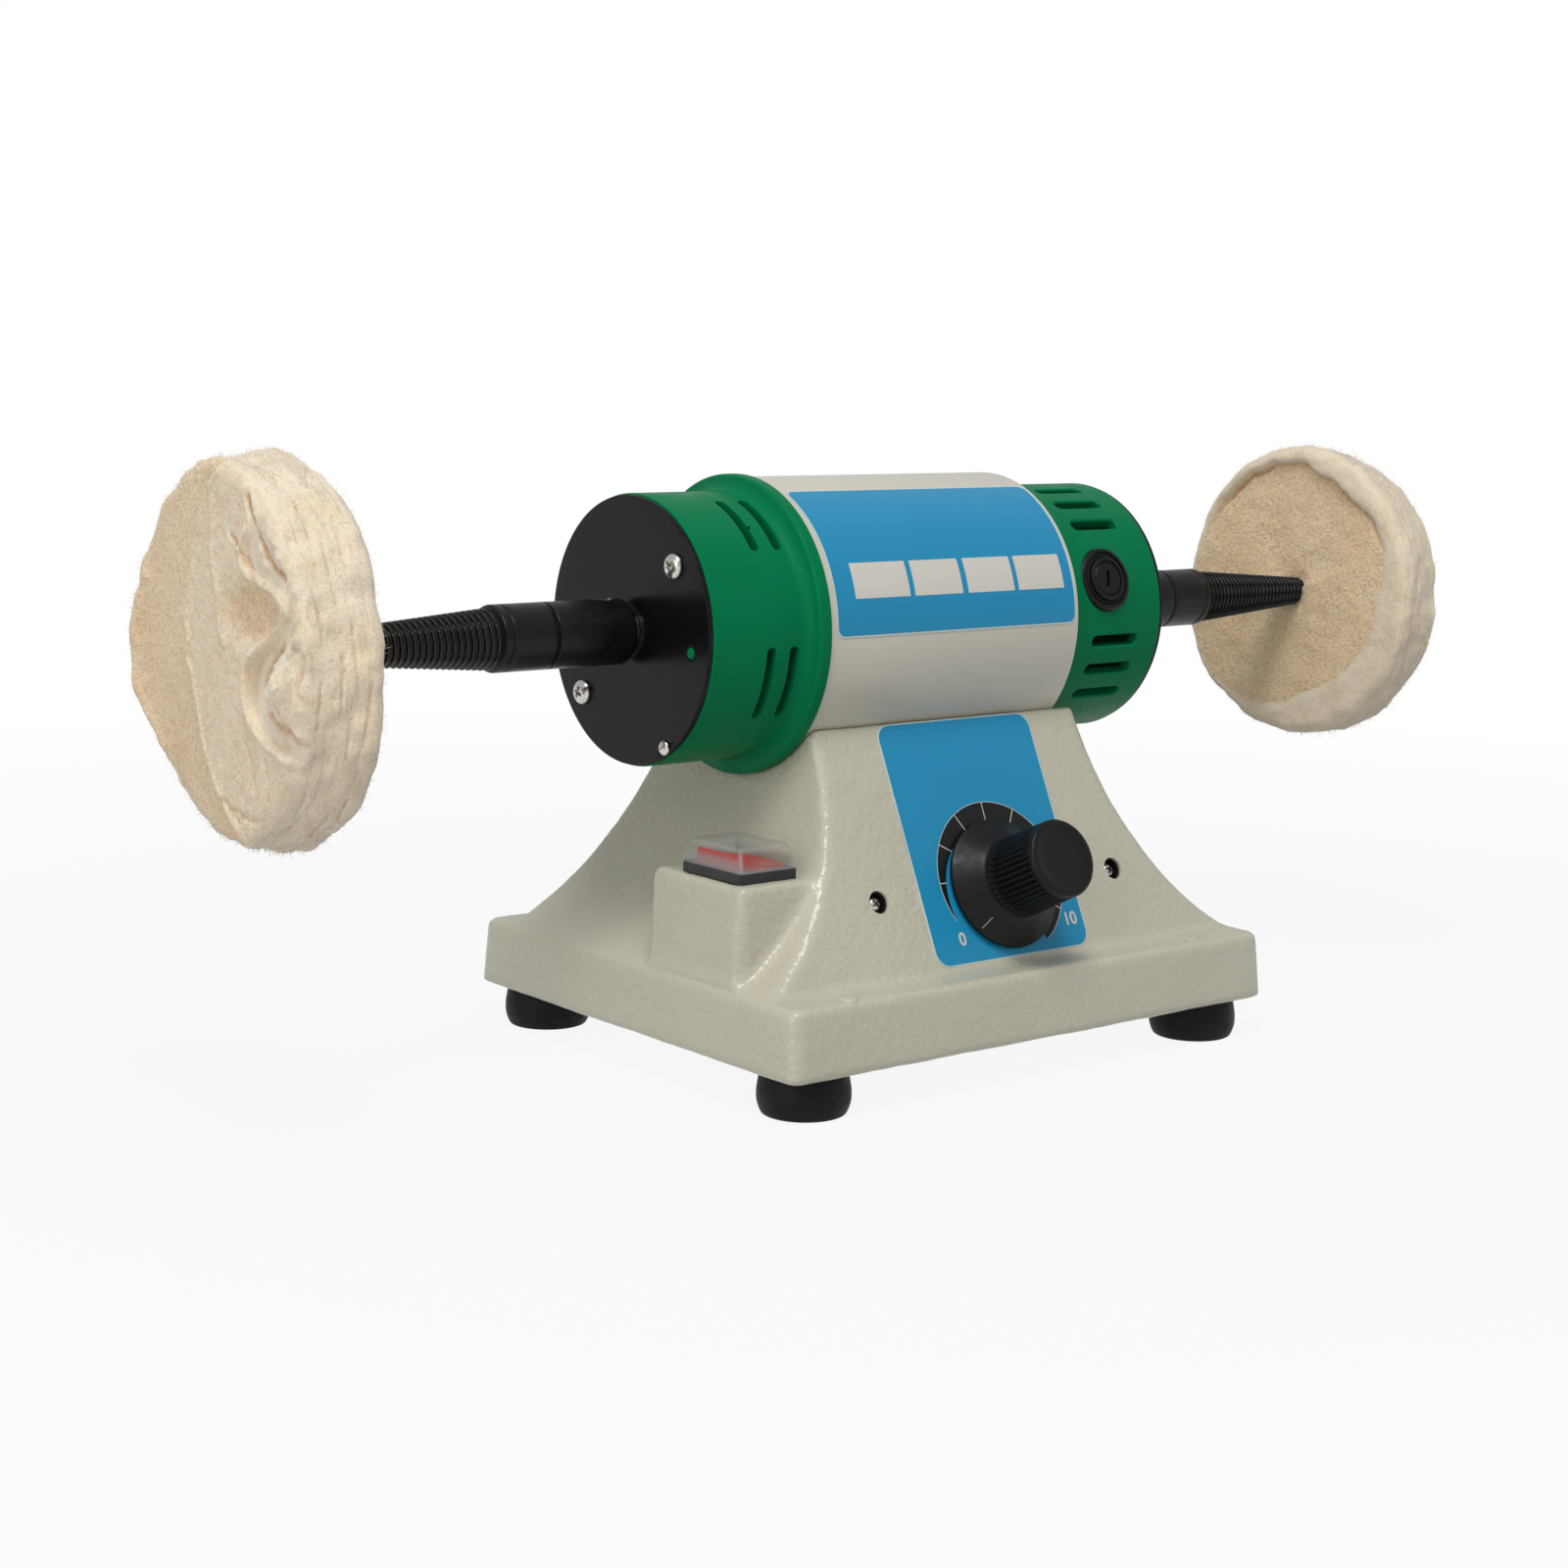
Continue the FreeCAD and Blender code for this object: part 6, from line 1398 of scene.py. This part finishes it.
def buff(node, name, side, inner_radii, outer_radii, outer_turn, inner_turn, grooves, plies, seed,
         ragged):
    """A stack of cloth discs as one soft closed form, with its folds, nap and wandering plies."""
    low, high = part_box(node)
    rows = buff_rows()
    count = len(rows)
    theta = np.tile(np.arange(BUFF_COLUMNS) * math.tau / BUFF_COLUMNS, count)
    s, share, facing = (np.repeat([row[k] for row in rows], BUFF_COLUMNS) for k in range(3))
    inner_r, outer_r = (np.tile(round_radius(table), count) for table in (inner_radii, outer_radii))
    edge = inner_r + (outer_r - inner_r) * smooth_step(2.0, BUFF_THICK, s)
    radius = share * edge
    y, z = radius * np.cos(theta), radius * np.sin(theta)
    place = np.stack([s * MM, y, z], 1)
    noise_a = ruffle(place, 95.0, seed, 2)
    noise_b = ruffle(place, 240.0, seed + 20.0, 2)
    noise_c = ruffle(place, 620.0, seed + 40.0, 1)

    def turned_plane(angle):
        cos, sin, scale = math.cos(angle), math.sin(angle), BUFF_RADIUS / np.maximum(edge, 1e-6)
        return (y * cos - z * sin) * scale, (y * sin + z * cos) * scale

    outer_relief, outer_nap, outer_shade = folded_face(*turned_plane(outer_turn), noise_a, noise_b)
    inner_relief, inner_nap, inner_shade = dished_face(*turned_plane(inner_turn), noise_a, noise_b)
    out_part, in_part = np.clip(facing, 0, 1) ** 0.7, np.clip(-facing, 0, 1) ** 0.7
    rim_part = np.clip(1 - np.abs(facing), 0, 1)
    quiet = 0.45 + 0.55 * smooth_step(-0.2, 0.75, np.abs(np.cos(theta)))
    rim = rim_plies(theta, s, noise_a, noise_b, grooves, plies, seed) * quiet
    near_rim = smooth_step(0.80, 1.0, share)
    axial = out_part * outer_relief - in_part * inner_relief
    axial += (0.5 * noise_a * near_rim + 0.22 * noise_b + 0.12 * noise_c) * np.sign(facing)
    radial = rim_part * rim + (ragged * noise_a) * near_rim
    radial += (0.25 * noise_b + 0.14 * noise_c) * rim_part
    hub = smooth_step(0.16, HUB_SHARE, share) * in_part
    radius += radial * MM
    x = (high.x if side < 0 else low.x) + side * (s + axial + hub * 0.8) * MM
    points = np.stack([x, radius * np.cos(theta), MOTOR_AXIS.z + radius * np.sin(theta)], 1)
    faces = grid_faces(count, BUFF_COLUMNS)
    points = [tuple(p) for p in points]
    polar_cap(points, faces, list(range(BUFF_COLUMNS))[::-1])
    polar_cap(points, faces, list(range((count - 1) * BUFF_COLUMNS, count * BUFF_COLUMNS)))
    mesh = mesh_of(points, faces, FINE_JOIN)
    obj = dress(mesh, name, cotton, (node,), body="rotor")
    relax(mesh, 1, 0.35)
    nap = np.clip(out_part * outer_nap + in_part * inner_nap, 0, 1)
    # The rim's grooves, which the material darkens as painted shade
    deep = np.clip(rim_part * smooth_step(0.3, 1.5, -rim), 0, 1)
    # Painted shade of both faces, carried to the material
    painted_shade = np.clip(out_part * outer_shade + in_part * inner_shade, 0, 1.3)
    mark_points(mesh, "nap", [*nap, nap[0], nap[-1]])
    mark_points(mesh, "crease", [*deep, 0.0, 0.0])
    mark_points(mesh, "crease_shade", [*painted_shade, 0.0, 0.0])
    return mesh


def fuzz(name, mesh, count, seed):
    """Short loose fibres standing off a buff's rim."""
    draw = np.random.RandomState(seed)
    co = vectors_of(mesh.vertices, "co")
    normals = vectors_of(mesh.vertices, "normal")
    roots = np.nonzero(np.hypot(co[:, 1], co[:, 2] - MOTOR_AXIS.z) > 0.044)[0]
    roots = roots[draw.randint(0, len(roots), count)]
    heading = normals[roots] + draw.normal(0.0, 0.55, (count, 3))
    heading /= np.linalg.norm(heading, axis=1)[:, None]
    sway = draw.normal(0.0, 0.45, (count, 3))
    length = draw.uniform(0.0006, 0.0019, count)
    points, faces = [], []
    for root, way, bend, long in zip(co[roots], heading, sway, length):
        start = len(points)
        side = np.cross(way, bend)
        side /= np.linalg.norm(side)
        other = np.cross(way, side)
        for share, thick in ((-0.15, 0.00006), (0.5, 0.00005), (1.0, 0.00002)):
            middle = root + way * long * share + bend * long * max(share, 0.0) ** 2
            for turn in (0.0, 2.094, 4.189):
                points.append(middle + thick * (side * math.cos(turn) + other * math.sin(turn)))
        faces += [tuple(start + i for i in face) for face in grid_faces(3, 3)]
        faces += [(start + 2, start + 1, start), (start + 6, start + 7, start + 8)]
    dress(mesh_of(points, faces), name, fibre, body="rotor")


# Radii of each buff's inner and outer face, as (degrees from the rear, mm)
left_mop = buff(
    "left_buff", "left_mop", -1,
    [(87, 54.6), (117, 56.3), (138, 59.5), (155, 57.0), (176, 57.2), (187, 58), (200, 58.5), (216, 60),
     (241, 56), (271, 56), (300, 53), (330, 52), (0, 53), (45, 53.5)],
    [(-7, 58.5), (11, 54.0), (25, 52.0), (40, 51.5), (62, 52.5), (73, 53.5), (96, 54.5), (120, 53.5),
     (150, 52.5), (180, 52), (210, 52), (240, 53), (260, 52.6), (270, 50), (284, 48.0), (308, 45.0),
     (318, 47.0), (343, 55.0)],
    0.0, 2.4, 0.6, 9, 3.0, 1.3)
right_mop = buff(
    "right_buff", "right_mop", 1,
    [(84, 53.4), (105, 54), (130, 54), (160, 53.5), (180, 53), (210, 52.5), (240, 52.5), (264, 52.9),
     (289, 54.1), (305, 53.4), (326, 55.5), (343, 55), (6, 52.2), (28, 52.5), (46, 53.2), (68, 52.9)],
    [(83, 51.8), (112, 49.2), (137, 51.1), (157, 51.9), (177, 51.5), (198, 51.5), (218, 50.6),
     (243, 52.3), (261, 53.5), (290, 53), (320, 52), (0, 50), (40, 52)],
    2.1, 0.0, 0.45, 8, 11.0, 0.6)
fuzz("left_fuzz", left_mop, 5000, 5)
fuzz("right_fuzz", right_mop, 4000, 6)

# ---- Camera, light and floor

CAMERA_AT = Vector((-0.571311, -0.672348, 0.217960))
AZIMUTH, TILT, ROLL = (math.radians(a) for a in (-38.44002, 8.771582, 0.768737))
FLOOR_SIZE = 30.0


def camera():
    """The camera at the photograph's viewing angle."""
    back = Vector((math.sin(AZIMUTH) * math.cos(TILT), -math.cos(AZIMUTH) * math.cos(TILT),
                   math.sin(TILT)))
    right = Vector((math.cos(AZIMUTH), math.sin(AZIMUTH), 0.0))
    up = back.cross(right)
    turned_right = right * math.cos(ROLL) + up * math.sin(ROLL)
    turned_up = up * math.cos(ROLL) - right * math.sin(ROLL)
    data = bpy.data.cameras.new("camera")
    data.sensor_width = 36.0
    data.lens = 62.033
    data.clip_start = 0.01
    obj = added("camera", data)
    turn = Matrix((turned_right, turned_up, back)).transposed()
    obj.matrix_world = Matrix.Translation(CAMERA_AT) @ turn.to_4x4()
    bpy.context.scene.camera = obj


def lamp(name, place, target, size, power):
    """A square area lamp aimed at a point."""
    data = bpy.data.lights.new(name, "AREA")
    data.shape = "SQUARE"
    data.size = size
    data.energy = power
    obj = added(name, data)
    obj.location = place
    obj.rotation_euler = (Vector(target) - Vector(place)).to_track_quat("-Z", "Y").to_euler()


def seen_share(tree, glossy):
    """1 for the camera's own rays and those through clear pieces, and a share for reflections."""
    path = add_node(tree, "LightPath").outputs
    direct = combined(tree, "MAXIMUM", path["Is Camera Ray"], path["Is Transmission Ray"])
    return combined(tree, "MAXIMUM", direct, combined(tree, "MULTIPLY", path["Is Glossy Ray"], glossy))


def floor():
    """A plain white floor that keeps a soft shadow, whiter with distance."""
    mat, tree, shader, coords = graph("floor", (0.58, 0.58, 0.58), 0.9)
    put(shader, {"Specular IOR Level": 0.0})
    reach = tree.nodes.new("ShaderNodeVectorMath")
    reach.operation = "LENGTH"
    tree.links.new(coords, reach.inputs[0])
    share = mapped(tree, reach.outputs["Value"], 0.3, 0.9, 0.9, 1.0)
    white = add_node(tree, "Emission", {"Strength": 1.0}).outputs["Emission"]
    shown_by(tree, combined(tree, "MULTIPLY", seen_share(tree, 1.0), share), shader.outputs["BSDF"],
             white, tree.nodes["Material Output"].inputs["Surface"])
    near, far = -FLOOR_SIZE, FLOOR_SIZE
    obj = added("floor", mesh_of([(near, near, 0), (far, near, 0), (far, far, 0), (near, far, 0)],
                                 [(0, 1, 2, 3)]))
    obj.data.materials.append(mat)


def world():
    """Even light from all round, seen as white by the camera."""
    sky = bpy.data.worlds.new("studio")
    bpy.context.scene.world = sky
    sky.use_nodes = True
    tree = sky.node_tree
    dim = tree.nodes["Background"]
    put(dim, {"Color": (0.95, 0.97, 1.0, 1.0), "Strength": 0.4})
    white = add_node(tree, "Background", {"Color": (1.0, 1.0, 1.0, 1.0), "Strength": 1.0})
    shown_by(tree, seen_share(tree, 0.35), dim.outputs["Background"], white.outputs["Background"],
             tree.nodes["World Output"].inputs["Surface"])


camera()
floor()
world()
lamp("key", (-0.45, -0.62, 1.55), (0, 0, 0.1), 0.6, 14.0)
lamp("fill", (-1.5, -0.45, 0.55), (0, 0, 0.12), 1.0, 6.3)
bpy.context.scene.view_settings.view_transform = "Standard"
